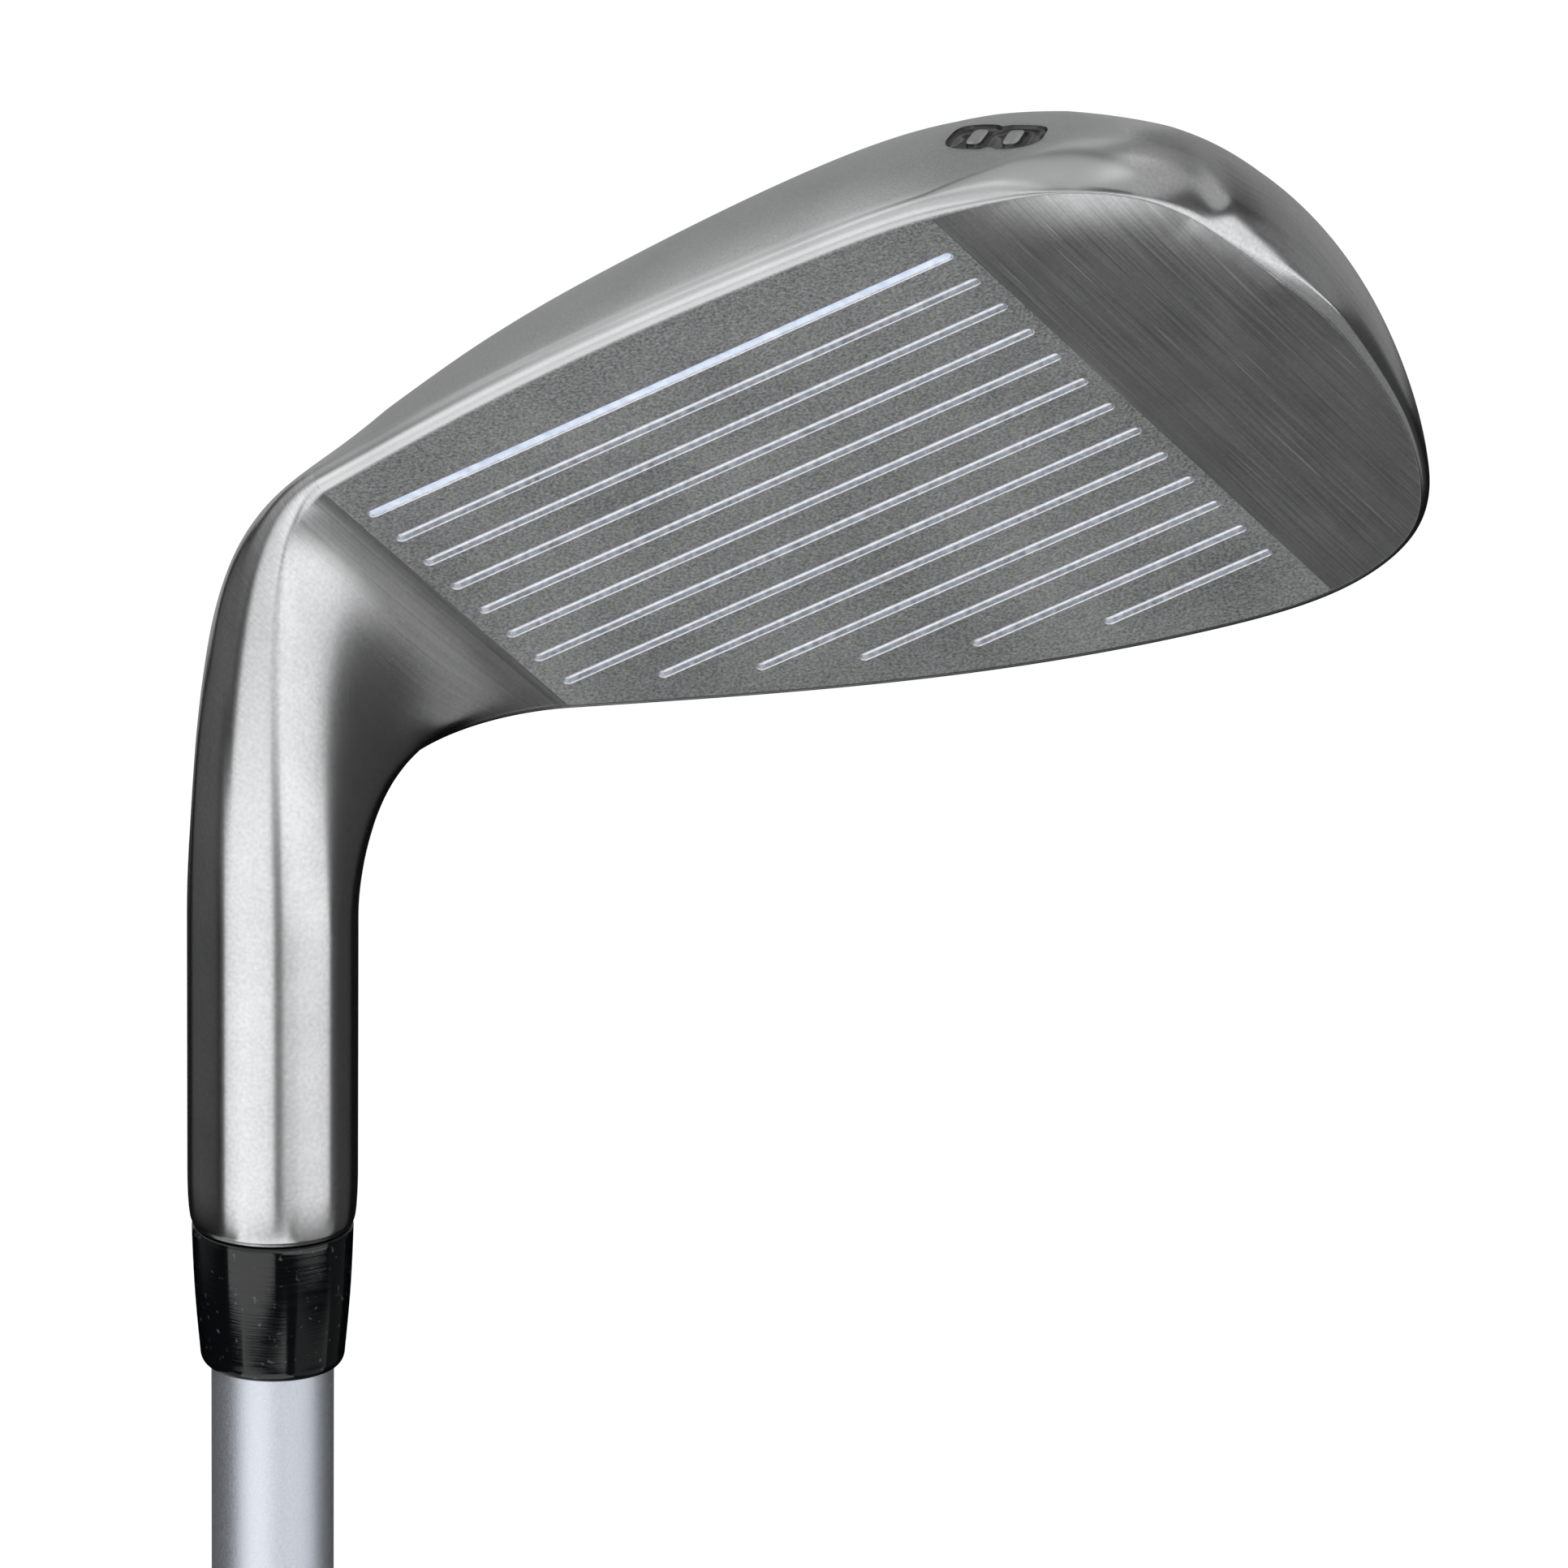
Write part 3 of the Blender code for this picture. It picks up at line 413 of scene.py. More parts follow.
hosel_profile = [
    (HOSEL_BORE, BORE_DEPTH), (HOSEL_BORE, 0.3 * MM), (HOSEL_BORE + 0.05 * MM, 0.12 * MM),
    (HOSEL_BORE + 0.2 * MM, 0.0), (HOSEL_END_RADIUS - 0.25 * MM, 0.0),
    (HOSEL_END_RADIUS - 0.1 * MM, 0.04 * MM), (HOSEL_END_RADIUS - 0.03 * MM, 0.12 * MM),
]
hosel_profile += [(HOSEL_END_RADIUS + (HOSEL_RADIUS - HOSEL_END_RADIUS) * math.sin(t),
                   0.3 * MM + (HOSEL_TAPER - 0.3 * MM) * (1 - math.cos(t))) for t in taper_turn]
hosel_profile += [(HOSEL_RADIUS, z) for z in np.linspace(HOSEL_TAPER, HOSEL_STRAIGHT, 12)[1:]]
rings = [around * radius + (0, 0, HOSEL_END + height) for radius, height in hosel_profile]
bend_start = rings[-1]
keep_knots = np.linspace(-3 * math.pi, 3 * math.pi, 3 * len(BEND_KEEPS) + 1)
within_turn = (angles + math.pi) % (2 * math.pi) - math.pi
keeps = smooth_through(keep_knots, np.array(3 * BEND_KEEPS + BEND_KEEPS[:1]), within_turn)
keeps *= np.linalg.norm(section - bend_start, axis=1)[:, None]
leave = keeps[:, :1] * (0, 0, 1)
arrive = keeps[:, 1:] * onwards
for i in range(1, BEND + 1):
    rings.append(hermite(bend_start, leave, section, arrive, i / BEND))
rings = np.array(rings)
closed_rings = np.concatenate((rings, rings[:, :1]), axis=1)
ring_gaps = np.linalg.norm(np.diff(closed_rings, axis=0), axis=2)
ring_way = np.vstack((np.cumsum(ring_gaps[::-1], axis=0)[::-1], np.zeros_like(ring_gaps[:1])))
by_border = np.clip((np.arange(len(rings)) - len(rings) + BEND) / (0.7 * BEND), 0, 1)[:, None]
ring_way = by_border * ring_way + (1 - by_border) * ring_way.mean(axis=1, keepdims=True)
round_way = np.append(HOSEL_FRONT - angles, 2 * math.pi) * HOSEL_RADIUS
bend_rings = len(rings) - BEND, len(rings) - BEND * 0.4, len(rings)
ring_streak = np.interp(np.arange(len(rings)), bend_rings, (0.1, 0.3, 1))
lay(closed_rings, with_marks(round_way[None], ring_way, ring_streak[:, None]), BRUSHED)
bore_floor = skin.faces.new([skin.verts.new(p) for p in rings[0]])
mark_corners(bore_floor, [(p[0], p[1], 0.3) for p in rings[0]], BRUSHED)

# Grooves: cut from heel to toe after the blasting, shorter where the topline comes down. Each one is a
# row of loops from its round lip down to its floor, and the lowest one is filled with white paint.
GROOVE_PITCH = 3.6 * MM
GROOVE_END = 51.0 * MM
GROOVE_HALF = 0.375 * MM
GROOVE_TOP_MARGIN = 3.3 * MM
GROOVE_COUNT = 13
GROOVE_TURN = np.linspace(-math.pi / 2, math.pi / 2, 13)
CUT_GROOVE = np.array(((0.49, 0), (0.43, 0), (0.405, 0.012), (0.385, 0.04), (0.37, 0.09), (0.30, 0.34),
                       (0.27, 0.40), (0.21, 0.44), (0.13, 0.45))) * MM
FILLED_GROOVE = np.array(((0.49, 0), (0.43, 0), (0.405, 0.012), (0.385, 0.04), (0.36, 0.1),
                          (0.33, 0.16))) * MM
PAINT_FILL = np.array(((0.33, 0.16), (0.3, 0.14), (0.24, 0.16), (0.14, 0.17))) * MM


def groove_loop(start, up, half):
    """Outline of a groove with round ends."""
    out, over = half * np.cos(GROOVE_TURN), half * np.sin(GROOVE_TURN)
    toe = np.stack((GROOVE_END - GROOVE_HALF + out, up + over), axis=1)
    heel = np.stack((start + GROOVE_HALF - out, up - over), axis=1)
    return np.vstack((toe, heel))


def lay_groove(start, up, profile, finish):
    """Skin a groove down its profile, and return the outline of its mouth."""
    loops = np.array([groove_loop(start, up, half) for half, _ in profile])
    loops = np.concatenate((loops, loops[:, :1]), axis=1)
    lay(on_blade(loops[:, :, 0], loops[:, :, 1], profile[:, 1:]),
        with_marks(loops[:, :, 0], loops[:, :, 1], 1), finish)
    return loops[0, :-1]


def close_groove(start, up, half, depth, finish):
    """Skin the floor of a groove with long strips from its toe end to its heel end."""
    loop = groove_loop(start, up, half)
    pairs = np.stack((loop[:len(GROOVE_TURN)], loop[:len(GROOVE_TURN) - 1:-1]))
    lay(on_blade(pairs[:, :, 0], pairs[:, :, 1], depth),
        with_marks(pairs[:, :, 0], pairs[:, :, 1], 1), finish)


top_of_edge = np.argmax(rim_place[:, 1])
topline_up = rim_place[top_of_edge:][::-1]
groove_mouths = []
for row in range(GROOVE_COUNT):
    up = row * GROOVE_PITCH
    start = max(0.0, float(np.interp(up + GROOVE_TOP_MARGIN, topline_up[:, 1], topline_up[:, 0])))
    if row == 0:
        groove_mouths.append(lay_groove(start, up, FILLED_GROOVE, CUT))
        lay_groove(start, up, PAINT_FILL, WHITE_PAINT)
        close_groove(start, up, *PAINT_FILL[-1], WHITE_PAINT)
    else:
        groove_mouths.append(lay_groove(start, up, CUT_GROOVE, CUT))
        close_groove(start, up, *CUT_GROOVE[-1], CUT)

# Face: the hem round its edge, the blasted middle with the mouths of the grooves, and the brushed toe.
hem = np.stack((wall_skin[:, 0], hem_points), axis=1)
hem_marks = with_marks(wall_place[:, :1, 1], wall_place[:, :1, 0], np.ones((1, 2)))
lay(hem[:LEADING + 1], hem_marks[:LEADING + 1], BLASTED)
lay(hem[LEADING:TOE_END + 1], hem_marks[LEADING:TOE_END + 1], BRUSHED)
lay(hem[TOE_END:], hem_marks[TOE_END:], BLASTED)
blast_border = between(hem_place[LEADING], hem_place[TOE_END], 60)
heel_border = crowded(rim_place[-1], rim_place[0], FACE)
blast_outline = np.vstack((hem_place[:LEADING + 1], blast_border, hem_place[TOE_END:], heel_border))
toe_outline = np.vstack((hem_place[LEADING:TOE_END + 1], blast_border[::-1]))
grid = np.stack(np.meshgrid(np.arange(52.8, 69, 0.7), np.arange(-5, 50, 0.7)), axis=-1).reshape(-1, 2) * MM
toe_rim = hem_place[LEADING:TOE_END + 1]
nearest = np.argmin(np.linalg.norm(grid[:, None] - toe_rim[None], axis=2), axis=1)
inside = np.einsum("ij,ij->i", grid - toe_rim[nearest], rim_inwards[LEADING:TOE_END + 1][nearest]) > 0.3 * MM
toe_grid = grid[inside]


def rolled(spots):
    """Points of the toe end of the face, rolled over near the leading edge."""
    away = np.linalg.norm(spots[:, None] - rim_place[None, LEADING:TOE_END + 1], axis=2)
    close = np.argmin(away, axis=1)
    gap = np.clip(ROLL_REACH - away[np.arange(len(spots)), close], 0, None)
    depth = roll[LEADING:TOE_END + 1][close] * gap**2 / (2 * ROLL_REACH)
    return on_blade(spots[:, 0], spots[:, 1], depth)


fill(blast_outline, groove_mouths, NO_SPOTS, lambda p: on_blade(p[:, 0], p[:, 1], 0.0), BLASTED, 1)
fill(toe_outline, [], toe_grid, rolled, BRUSHED, 1)

# Back: flat round a hollow with round corners, a soft rim and a filleted floor.
HOLLOW_RIM = 2.4 * MM
HOLLOW_HEEL = 7.0 * MM
HOLLOW_CORNER = 3.5 * MM
HOLLOW_STEPS = 240
HOLLOW_PROFILE = np.array(((-0.75, 6.6), (-0.55, 6.6), (-0.28, 6.54), (-0.06, 6.4), (0.1, 6.2), (0.9, 4.8),
                           (1.05, 4.58), (1.3, 4.36), (1.65, 4.24), (2.1, 4.2), (2.4, 4.2))) * MM
hollow_line = rim_place + (rim + HOLLOW_RIM)[:, None] * rim_inwards
hollow_line = hollow_line[hollow_line[:, 0] > HOLLOW_HEEL]
closed_line = np.vstack((hollow_line, hollow_line[:1]))
hollow_way = np.append(0, np.cumsum(np.linalg.norm(np.diff(closed_line, axis=0), axis=1)))
hollow_spots = np.linspace(0, hollow_way[-1], HOLLOW_STEPS, endpoint=False)
hollow = np.stack([np.interp(hollow_spots, hollow_way, side) for side in closed_line.T], axis=1)
window = round(HOLLOW_CORNER * HOLLOW_STEPS / hollow_way[-1])
for _ in range(2):
    hollow = np.mean([np.roll(hollow, k, axis=0) for k in range(-window, window + 1)], axis=0)
ahead = np.roll(hollow, -1, axis=0) - np.roll(hollow, 1, axis=0)
hollow_inwards = np.stack((-ahead[:, 1], ahead[:, 0]), axis=1) / np.linalg.norm(ahead, axis=1)[:, None]
hollow_loops = hollow[None] + HOLLOW_PROFILE[:, :1, None] * hollow_inwards[None]
closed_loops = np.concatenate((hollow_loops, hollow_loops[:, :1]), axis=1)
lay(on_blade(closed_loops[:, :, 0], closed_loops[:, :, 1], HOLLOW_PROFILE[:, 1:]),
    with_marks(closed_loops[:, :, 0], closed_loops[:, :, 1], 0.4), BRUSHED)
back_outline = np.vstack((wall_place[:, -1], between(wall_place[-1, -1], wall_place[0, -1], BACK)))
fill(back_outline, [hollow_loops[0]], NO_SPOTS, lambda p: on_blade(p[:, 0], p[:, 1], BLADE_DEPTH),
     BRUSHED, 0.4)
fill(hollow_loops[-1], [], NO_SPOTS, lambda p: on_blade(p[:, 0], p[:, 1], HOLLOW_PROFILE[-1, 1]),
     BRUSHED, 0.4)


def put(tree, kind, settings=None, **sockets):
    """Add a shader node, with its settings and with values or links for its sockets."""
    made = tree.nodes.new("ShaderNode" + kind)
    for name, value in (settings or {}).items():
        setattr(made, name, value)
    for name, value in sockets.items():
        socket = made.inputs[int(name[1:])] if name[1:].isdigit() else made.inputs[name.replace("_", " ")]
        if isinstance(value, bpy.types.NodeSocket):
            tree.links.new(value, socket)
        else:
            socket.default_value = value
    return made


def surface(name, **values):
    """Start a material with the constant values of its shader."""
    made = bpy.data.materials.new(name)
    made.use_nodes = True
    shader = made.node_tree.nodes["Principled BSDF"]
    for socket, value in values.items():
        shader.inputs[socket.replace("_", " ")].default_value = value
    return made, made.node_tree, shader


def noise_on(tree, place, size, detail=2.0, roughness=0.5):
    """Noise with features of about the given sizes in metres, between 0 and 1."""
    spread = put(tree, "Mapping", Vector=place, Scale=[0.5 / s for s in size])
    made = put(tree, "TexNoise", Vector=spread.outputs[0], Scale=1.0, Detail=detail, Roughness=roughness)
    return made.outputs["Fac"]


def ramp(tree, value, low, high, start=0.3, end=0.7):
    """Colour that goes from low to high as the value goes from start to end."""
    made = put(tree, "ValToRGB", Fac=value)
    for stop, place, colour in zip(made.color_ramp.elements, (start, end), (low, high)):
        stop.position = place
        stop.color = (*colour, 1)
    return made.outputs["Color"]


def spread_to(tree, value, low, high, start=0.3, end=0.7):
    """Value spread from one range to another."""
    made = put(tree, "MapRange", Value=value, From_Min=start, From_Max=end, To_Min=low, To_Max=high)
    return made.outputs["Result"]


def scaled(tree, value, mark):
    """Noise drawn towards its middle where the mark is low."""
    off = put(tree, "Math", {"operation": "SUBTRACT"}, _0=value, _1=0.5)
    kept = put(tree, "Math", {"operation": "MULTIPLY"}, _0=off.outputs[0], _1=mark)
    return put(tree, "Math", {"operation": "ADD"}, _0=kept.outputs[0], _1=0.5).outputs[0]


def average(tree, one, other, share=0.5):
    """Mix of two noises."""
    return put(tree, "Mix", {"data_type": "FLOAT"}, Factor=share, _2=one, _3=other).outputs[0]


def bump(tree, shader, height, distance, strength=1.0):
    """Raise the surface by a height of at most the given distance in metres."""
    made = put(tree, "Bump", Height=height, Distance=distance, Strength=strength)
    tree.links.new(made.outputs["Normal"], shader.inputs["Normal"])


brushed_steel, tree, shader = surface("brushed_steel", Metallic=1.0, Anisotropic=0.65,
                                      Anisotropic_Rotation=0.25)
brush_place = put(tree, "UVMap", {"uv_map": "brush"}).outputs["UV"]
grain = put(tree, "Attribute", {"attribute_name": "grain"}).outputs["Fac"]
object_place = put(tree, "TexCoord").outputs["Object"]
hair_lines = noise_on(tree, brush_place, (6 * MM, 0.1 * MM, 1), 1, 0.6)
passes = noise_on(tree, brush_place, (20 * MM, 0.5 * MM, 1), 2)
lines = scaled(tree, average(tree, hair_lines, passes, 0.2), grain)
grit = noise_on(tree, object_place, (0.15 * MM,) * 3, 1)
mottle = average(tree, grit, noise_on(tree, object_place, (2.2 * MM,) * 3, 3))
brushed_tone = ramp(tree, average(tree, lines, mottle, 0.4), (0.44, 0.444, 0.452), (0.69, 0.69, 0.695),
                    0.37, 0.72)
scratches = noise_on(tree, brush_place, (5 * MM, 0.14 * MM, 1), 1)
scratched = spread_to(tree, scaled(tree, scratches, grain), 0, 0.7, 0.67, 0.76)
bright_cut = (0.95, 0.95, 0.95, 1)
scratched_tone = put(tree, "Mix", {"data_type": "RGBA"}, _0=scratched, _6=brushed_tone, _7=bright_cut)
tree.links.new(scratched_tone.outputs[2], shader.inputs["Base Color"])
line_shine = spread_to(tree, lines, 0.22, 0.38)
grain_shine = spread_to(tree, grain, 0.2, 0.32, 0, 1)
tree.links.new(average(tree, line_shine, grain_shine, 0.7), shader.inputs["Roughness"])
bump(tree, shader, lines, 0.0018 * MM)
brush_way = put(tree, "Tangent", {"direction_type": "UV_MAP", "uv_map": "brush"})
tree.links.new(brush_way.outputs[0], shader.inputs["Tangent"])

blasted_steel, tree, shader = surface("blasted_steel", Metallic=1.0)
grain = put(tree, "Attribute", {"attribute_name": "grain"}).outputs["Fac"]
object_place = put(tree, "TexCoord").outputs["Object"]
pits = scaled(tree, noise_on(tree, object_place, (0.12 * MM,) * 3, 2, 0.6), grain)
clouds = noise_on(tree, object_place, (6 * MM,) * 3, 2)
worn = spread_to(tree, grain, 0.2, 0, 0, 1)
tone = put(tree, "Math", {"operation": "ADD"}, _0=average(tree, pits, clouds, 0.25), _1=worn).outputs[0]
tree.links.new(ramp(tree, tone, (0.17, 0.173, 0.176), (0.53, 0.534, 0.538)), shader.inputs["Base Color"])
tree.links.new(spread_to(tree, grain, 0.26, 0.52, 0, 1), shader.inputs["Roughness"])
bump(tree, shader, pits, 0.03 * MM)

cut_steel, tree, shader = surface("cut_steel", Metallic=1.0)
object_place = put(tree, "TexCoord").outputs["Object"]
chatter = noise_on(tree, object_place, (0.25 * MM,) * 3, 2)
tree.links.new(ramp(tree, chatter, (0.55, 0.57, 0.61), (0.8, 0.82, 0.86)), shader.inputs["Base Color"])
tree.links.new(spread_to(tree, chatter, 0.32, 0.48), shader.inputs["Roughness"])
bump(tree, shader, chatter, 0.02 * MM)

white_paint, tree, shader = surface("white_groove_paint", Roughness=0.35)
object_place = put(tree, "TexCoord").outputs["Object"]
ripple = noise_on(tree, object_place, (0.5 * MM,) * 3, 2)
tree.links.new(ramp(tree, ripple, (0.3, 0.35, 0.44), (0.42, 0.47, 0.56)), shader.inputs["Base Color"])
bump(tree, shader, ripple, 0.02 * MM)

black_paint, tree, shader = surface("black_number_paint", Roughness=0.2)
object_place = put(tree, "TexCoord").outputs["Object"]
ripple = noise_on(tree, object_place, (0.6 * MM,) * 3, 2)
tree.links.new(ramp(tree, ripple, (0.006, 0.006, 0.007), (0.014, 0.014, 0.015)), shader.inputs["Base Color"])
bump(tree, shader, ripple, 0.03 * MM)


def piece_of(mesh, name, materials):
    """Object of a finished mesh, at the origin."""
    data = bpy.data.meshes.new(name)
    mesh.to_mesh(data)
    mesh.free()
    made = bpy.data.objects.new(name, data)
    bpy.context.scene.collection.objects.link(made)
    for material in materials:
        data.materials.append(material)
    return made


bmesh.ops.remove_doubles(skin, verts=skin.verts, dist=0.0005 * MM)
bmesh.ops.recalc_face_normals(skin, faces=skin.faces)
head = piece_of(skin, "forged_head", (brushed_steel, blasted_steel, cut_steel, white_paint, black_paint))
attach(head, "root")
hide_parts("club_head")


# Tip weight. A turned brass pin with a head, glued into the open tip of the shaft inside the hosel to set
# the swing weight.
brass, tree, shader = surface("turned_brass", Metallic=1.0)
object_place = put(tree, "TexCoord").outputs["Object"]
lathe = noise_on(tree, object_place, (2 * MM, 2 * MM, 0.08 * MM), 2)
tree.links.new(ramp(tree, lathe, (0.62, 0.42, 0.16), (0.82, 0.6, 0.26)), shader.inputs["Base Color"])
tree.links.new(spread_to(tree, lathe, 0.28, 0.42), shader.inputs["Roughness"])
bump(tree, shader, lathe, 0.01 * MM)
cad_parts["tip_weight"].data.materials.clear()
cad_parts["tip_weight"].data.materials.append(brass)


# Shaft. A hollow tapered tube of wound fibre, ground smooth and sprayed with satin silver paint. Its tip
# is glued into the hosel.
SHAFT_LOW, SHAFT_HIGH = (corner.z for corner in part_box("shaft"))
SHAFT_TIP_RADIUS = 4.59 * MM
SHAFT_BUTT_RADIUS = 7.62 * MM
SHAFT_TIP_STRAIGHT = 150 * MM
SHAFT_BUTT_STRAIGHT = 295 * MM
SHAFT_TIP_BORE = 2.29 * MM
SHAFT_BUTT_BORE = 6.42 * MM


def turned(profile, sides):
    """Mesh of a closed profile of (radius, height) points turned round the shaft's axis."""
    mesh = bmesh.new()
    turns = np.arange(sides) * 2 * math.pi / sides
    circle = np.stack((np.cos(turns), np.sin(turns)), axis=1)
    rings = [[mesh.verts.new((*(radius * spot), height)) for spot in circle] for radius, height in profile]
    for k, ring in enumerate(rings):
        for i in range(sides):
            mesh.faces.new((rings[k - 1][i - 1], rings[k - 1][i], ring[i], ring[i - 1])).smooth = True
    bmesh.ops.recalc_face_normals(mesh, faces=mesh.faces)
    return mesh


def sharpen(piece, degrees=35):
    """Keep the edges of a turned piece crisp."""
    piece.data.set_sharp_from_angle(angle=math.radians(degrees))


tip_start = SHAFT_HIGH - SHAFT_TIP_STRAIGHT
butt_end = SHAFT_LOW + SHAFT_BUTT_STRAIGHT
outer_heights = np.linspace(butt_end, tip_start, 24)
outer_radii = np.interp(outer_heights, (butt_end, tip_start), (SHAFT_BUTT_RADIUS, SHAFT_TIP_RADIUS))
shaft_mesh = turned([
    (SHAFT_BUTT_BORE, SHAFT_LOW),
    (SHAFT_BUTT_RADIUS - 0.5 * MM, SHAFT_LOW), (SHAFT_BUTT_RADIUS, SHAFT_LOW + 0.5 * MM),
    *zip(outer_radii, outer_heights),
    (SHAFT_TIP_RADIUS, SHAFT_HIGH - 0.5 * MM), (SHAFT_TIP_RADIUS - 0.5 * MM, SHAFT_HIGH),
    (SHAFT_TIP_BORE, SHAFT_HIGH), (SHAFT_TIP_BORE, tip_start), (SHAFT_BUTT_BORE, butt_end),
], 128)
silver_paint, tree, shader = surface("silver_paint", Metallic=1.0)
object_place = put(tree, "TexCoord").outputs["Object"]
flakes = noise_on(tree, object_place, (0.09 * MM,) * 3, 2, 0.6)
drift = noise_on(tree, object_place, (3 * MM, 3 * MM, 20 * MM), 2)
silver = ramp(tree, average(tree, flakes, drift, 0.3), (0.55, 0.58, 0.64), (0.68, 0.71, 0.77))
tree.links.new(silver, shader.inputs["Base Color"])
tree.links.new(spread_to(tree, flakes, 0.43, 0.51), shader.inputs["Roughness"])
bump(tree, shader, flakes, 0.006 * MM)
shaft = piece_of(shaft_mesh, "painted_shaft", (silver_paint,))
sharpen(shaft)
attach(shaft, "root")
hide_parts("shaft")


# Ferrule. A short black plastic sleeve, pushed up the shaft against the end of the hosel, turned down to
# the hosel's width on a lathe and polished.
FERRULE_LOW, FERRULE_HIGH = (corner.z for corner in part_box("ferrule"))
FERRULE_BORE = 4.89 * MM
FERRULE_FOOT_RADIUS = 5.42 * MM
FERRULE_BULGE = 0.1 * MM
FERRULE_ROUND = 0.9 * MM
FERRULE_TOP = FERRULE_HIGH + 0.2 * MM
side_step = np.linspace(0, 1, 28)
side_heights = FERRULE_TOP - 0.15 * MM - (FERRULE_TOP - 0.15 * MM - FERRULE_LOW - FERRULE_ROUND) * side_step
side_radii = (HOSEL_END_RADIUS + (FERRULE_FOOT_RADIUS - HOSEL_END_RADIUS) * side_step
              + FERRULE_BULGE * np.sin(math.pi * side_step))
foot_turn = np.linspace(0, math.pi / 2, 12)[1:]
foot_radii = FERRULE_BORE + (FERRULE_FOOT_RADIUS - FERRULE_BORE) * np.cos(foot_turn)
foot_heights = FERRULE_LOW + FERRULE_ROUND * (1 - np.sin(foot_turn))
ferrule_mesh = turned([
    (FERRULE_BORE, FERRULE_TOP), (HOSEL_END_RADIUS - 0.2 * MM, FERRULE_TOP),
    (HOSEL_END_RADIUS - 0.06 * MM, FERRULE_TOP - 0.04 * MM),
    *zip(side_radii, side_heights),
    *zip(np.maximum(foot_radii, FERRULE_BORE + 0.05 * MM), foot_heights),
    (FERRULE_BORE, FERRULE_LOW),
], 128)
black_plastic, tree, shader = surface("black_plastic", Roughness=0.1, Specular_IOR_Level=0.45)
object_place = put(tree, "TexCoord").outputs["Object"]
lathe = noise_on(tree, object_place, (5 * MM, 5 * MM, 0.06 * MM), 3, 0.6)
specks = noise_on(tree, object_place, (0.25 * MM,) * 3, 1)
specked = ramp(tree, specks, (0.0015, 0.0017, 0.002), (0.03, 0.033, 0.04), 0.68, 0.8)
tree.links.new(specked, shader.inputs["Base Color"])
tree.links.new(spread_to(tree, lathe, 0.06, 0.14), shader.inputs["Roughness"])
bump(tree, shader, lathe, 0.004 * MM)
ferrule = piece_of(ferrule_mesh, "turned_ferrule", (black_plastic,))
sharpen(ferrule, 50)
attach(ferrule, "root")
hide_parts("ferrule")


# Grip tape. Double-sided paper tape wound round the butt of the shaft in a long spiral, hidden by the grip.
tape_paper, tree, shader = surface("tape_paper", Roughness=0.8)
object_place = put(tree, "TexCoord").outputs["Object"]
crepe = noise_on(tree, object_place, (0.8 * MM, 0.8 * MM, 0.2 * MM), 3)
tree.links.new(ramp(tree, crepe, (0.7, 0.66, 0.56), (0.86, 0.83, 0.74)), shader.inputs["Base Color"])
bump(tree, shader, crepe, 0.05 * MM)
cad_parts["grip_tape"].data.materials.clear()
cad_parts["grip_tape"].data.materials.append(tape_paper)


# Grip. A moulded rubber sleeve, slid over wet tape. Its skin has a tread of small raised lozenges, and
# plain bands with a ring at the mouth and at the butt.
GRIP_LOW, GRIP_HIGH = (corner.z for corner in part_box("grip"))
GRIP_LENGTH = GRIP_HIGH - GRIP_LOW
GRIP_BORE = 8.42 * MM
SNUG_BORE = 7.92 * MM
GRIP_EDGE_ROUND = 0.8 * MM
GRIP_RECESS_RADIUS = 10.52 * MM
GRIP_RECESS = 3.8 * MM
GRIP_LIP = 12.0 * MM
GRIP_KNOTS = np.array((0, 50, 132.5, 264.2)) * MM
GRIP_RADII = np.array((13.02, 11.32, 10.37, 9.42))[:, None] * MM
RING_PLACES = np.array((9, 236, 246)) * MM
RING_HALF = 0.9 * MM
RING_DEPTH = 0.35 * MM


def grip_radius(height):
    """Radius of the grip's skin at heights above its butt end."""
    return smooth_through(GRIP_KNOTS, GRIP_RADII, np.atleast_1d(height))[:, 0]


skin_heights = np.unique(np.concatenate((
    np.linspace(0, GRIP_KNOTS[-1], 90),
    *(place + np.linspace(-RING_HALF, RING_HALF, 9) for place in RING_PLACES),
)))
ring_dip = np.zeros_like(skin_heights)
for place in RING_PLACES:
    ring_dip += RING_DEPTH * np.clip(1 - ((skin_heights - place) / RING_HALF)**2, 0, 1)
mouth_turn = np.linspace(0, math.pi / 2, 8)[1:]
grip_mesh = turned([
    (GRIP_RECESS_RADIUS, GRIP_LOW),
    *zip(grip_radius(skin_heights) - ring_dip, GRIP_LOW + skin_heights),
    *zip(9.42 * MM - GRIP_EDGE_ROUND * (1 - np.cos(mouth_turn)),
         GRIP_HIGH - GRIP_EDGE_ROUND * (1 - np.sin(mouth_turn))),
    (SNUG_BORE, GRIP_HIGH), (SNUG_BORE, GRIP_HIGH - GRIP_LIP), (GRIP_BORE, GRIP_HIGH - GRIP_LIP),
    (GRIP_BORE, GRIP_LOW + GRIP_RECESS), (GRIP_RECESS_RADIUS, GRIP_LOW + GRIP_RECESS),
], 128)
grip_rubber, tree, shader = surface("grip_rubber", Roughness=0.7)
object_place = put(tree, "TexCoord").outputs["Object"]
pores = noise_on(tree, object_place, (0.2 * MM,) * 3, 3, 0.6)
handling = noise_on(tree, object_place, (18 * MM, 18 * MM, 45 * MM), 2)
handled = ramp(tree, average(tree, pores, handling, 0.5), (0.012, 0.012, 0.013), (0.03, 0.03, 0.031))
tree.links.new(handled, shader.inputs["Base Color"])
tree.links.new(spread_to(tree, handling, 0.58, 0.8), shader.inputs["Roughness"])
bump(tree, shader, pores, 0.03 * MM)

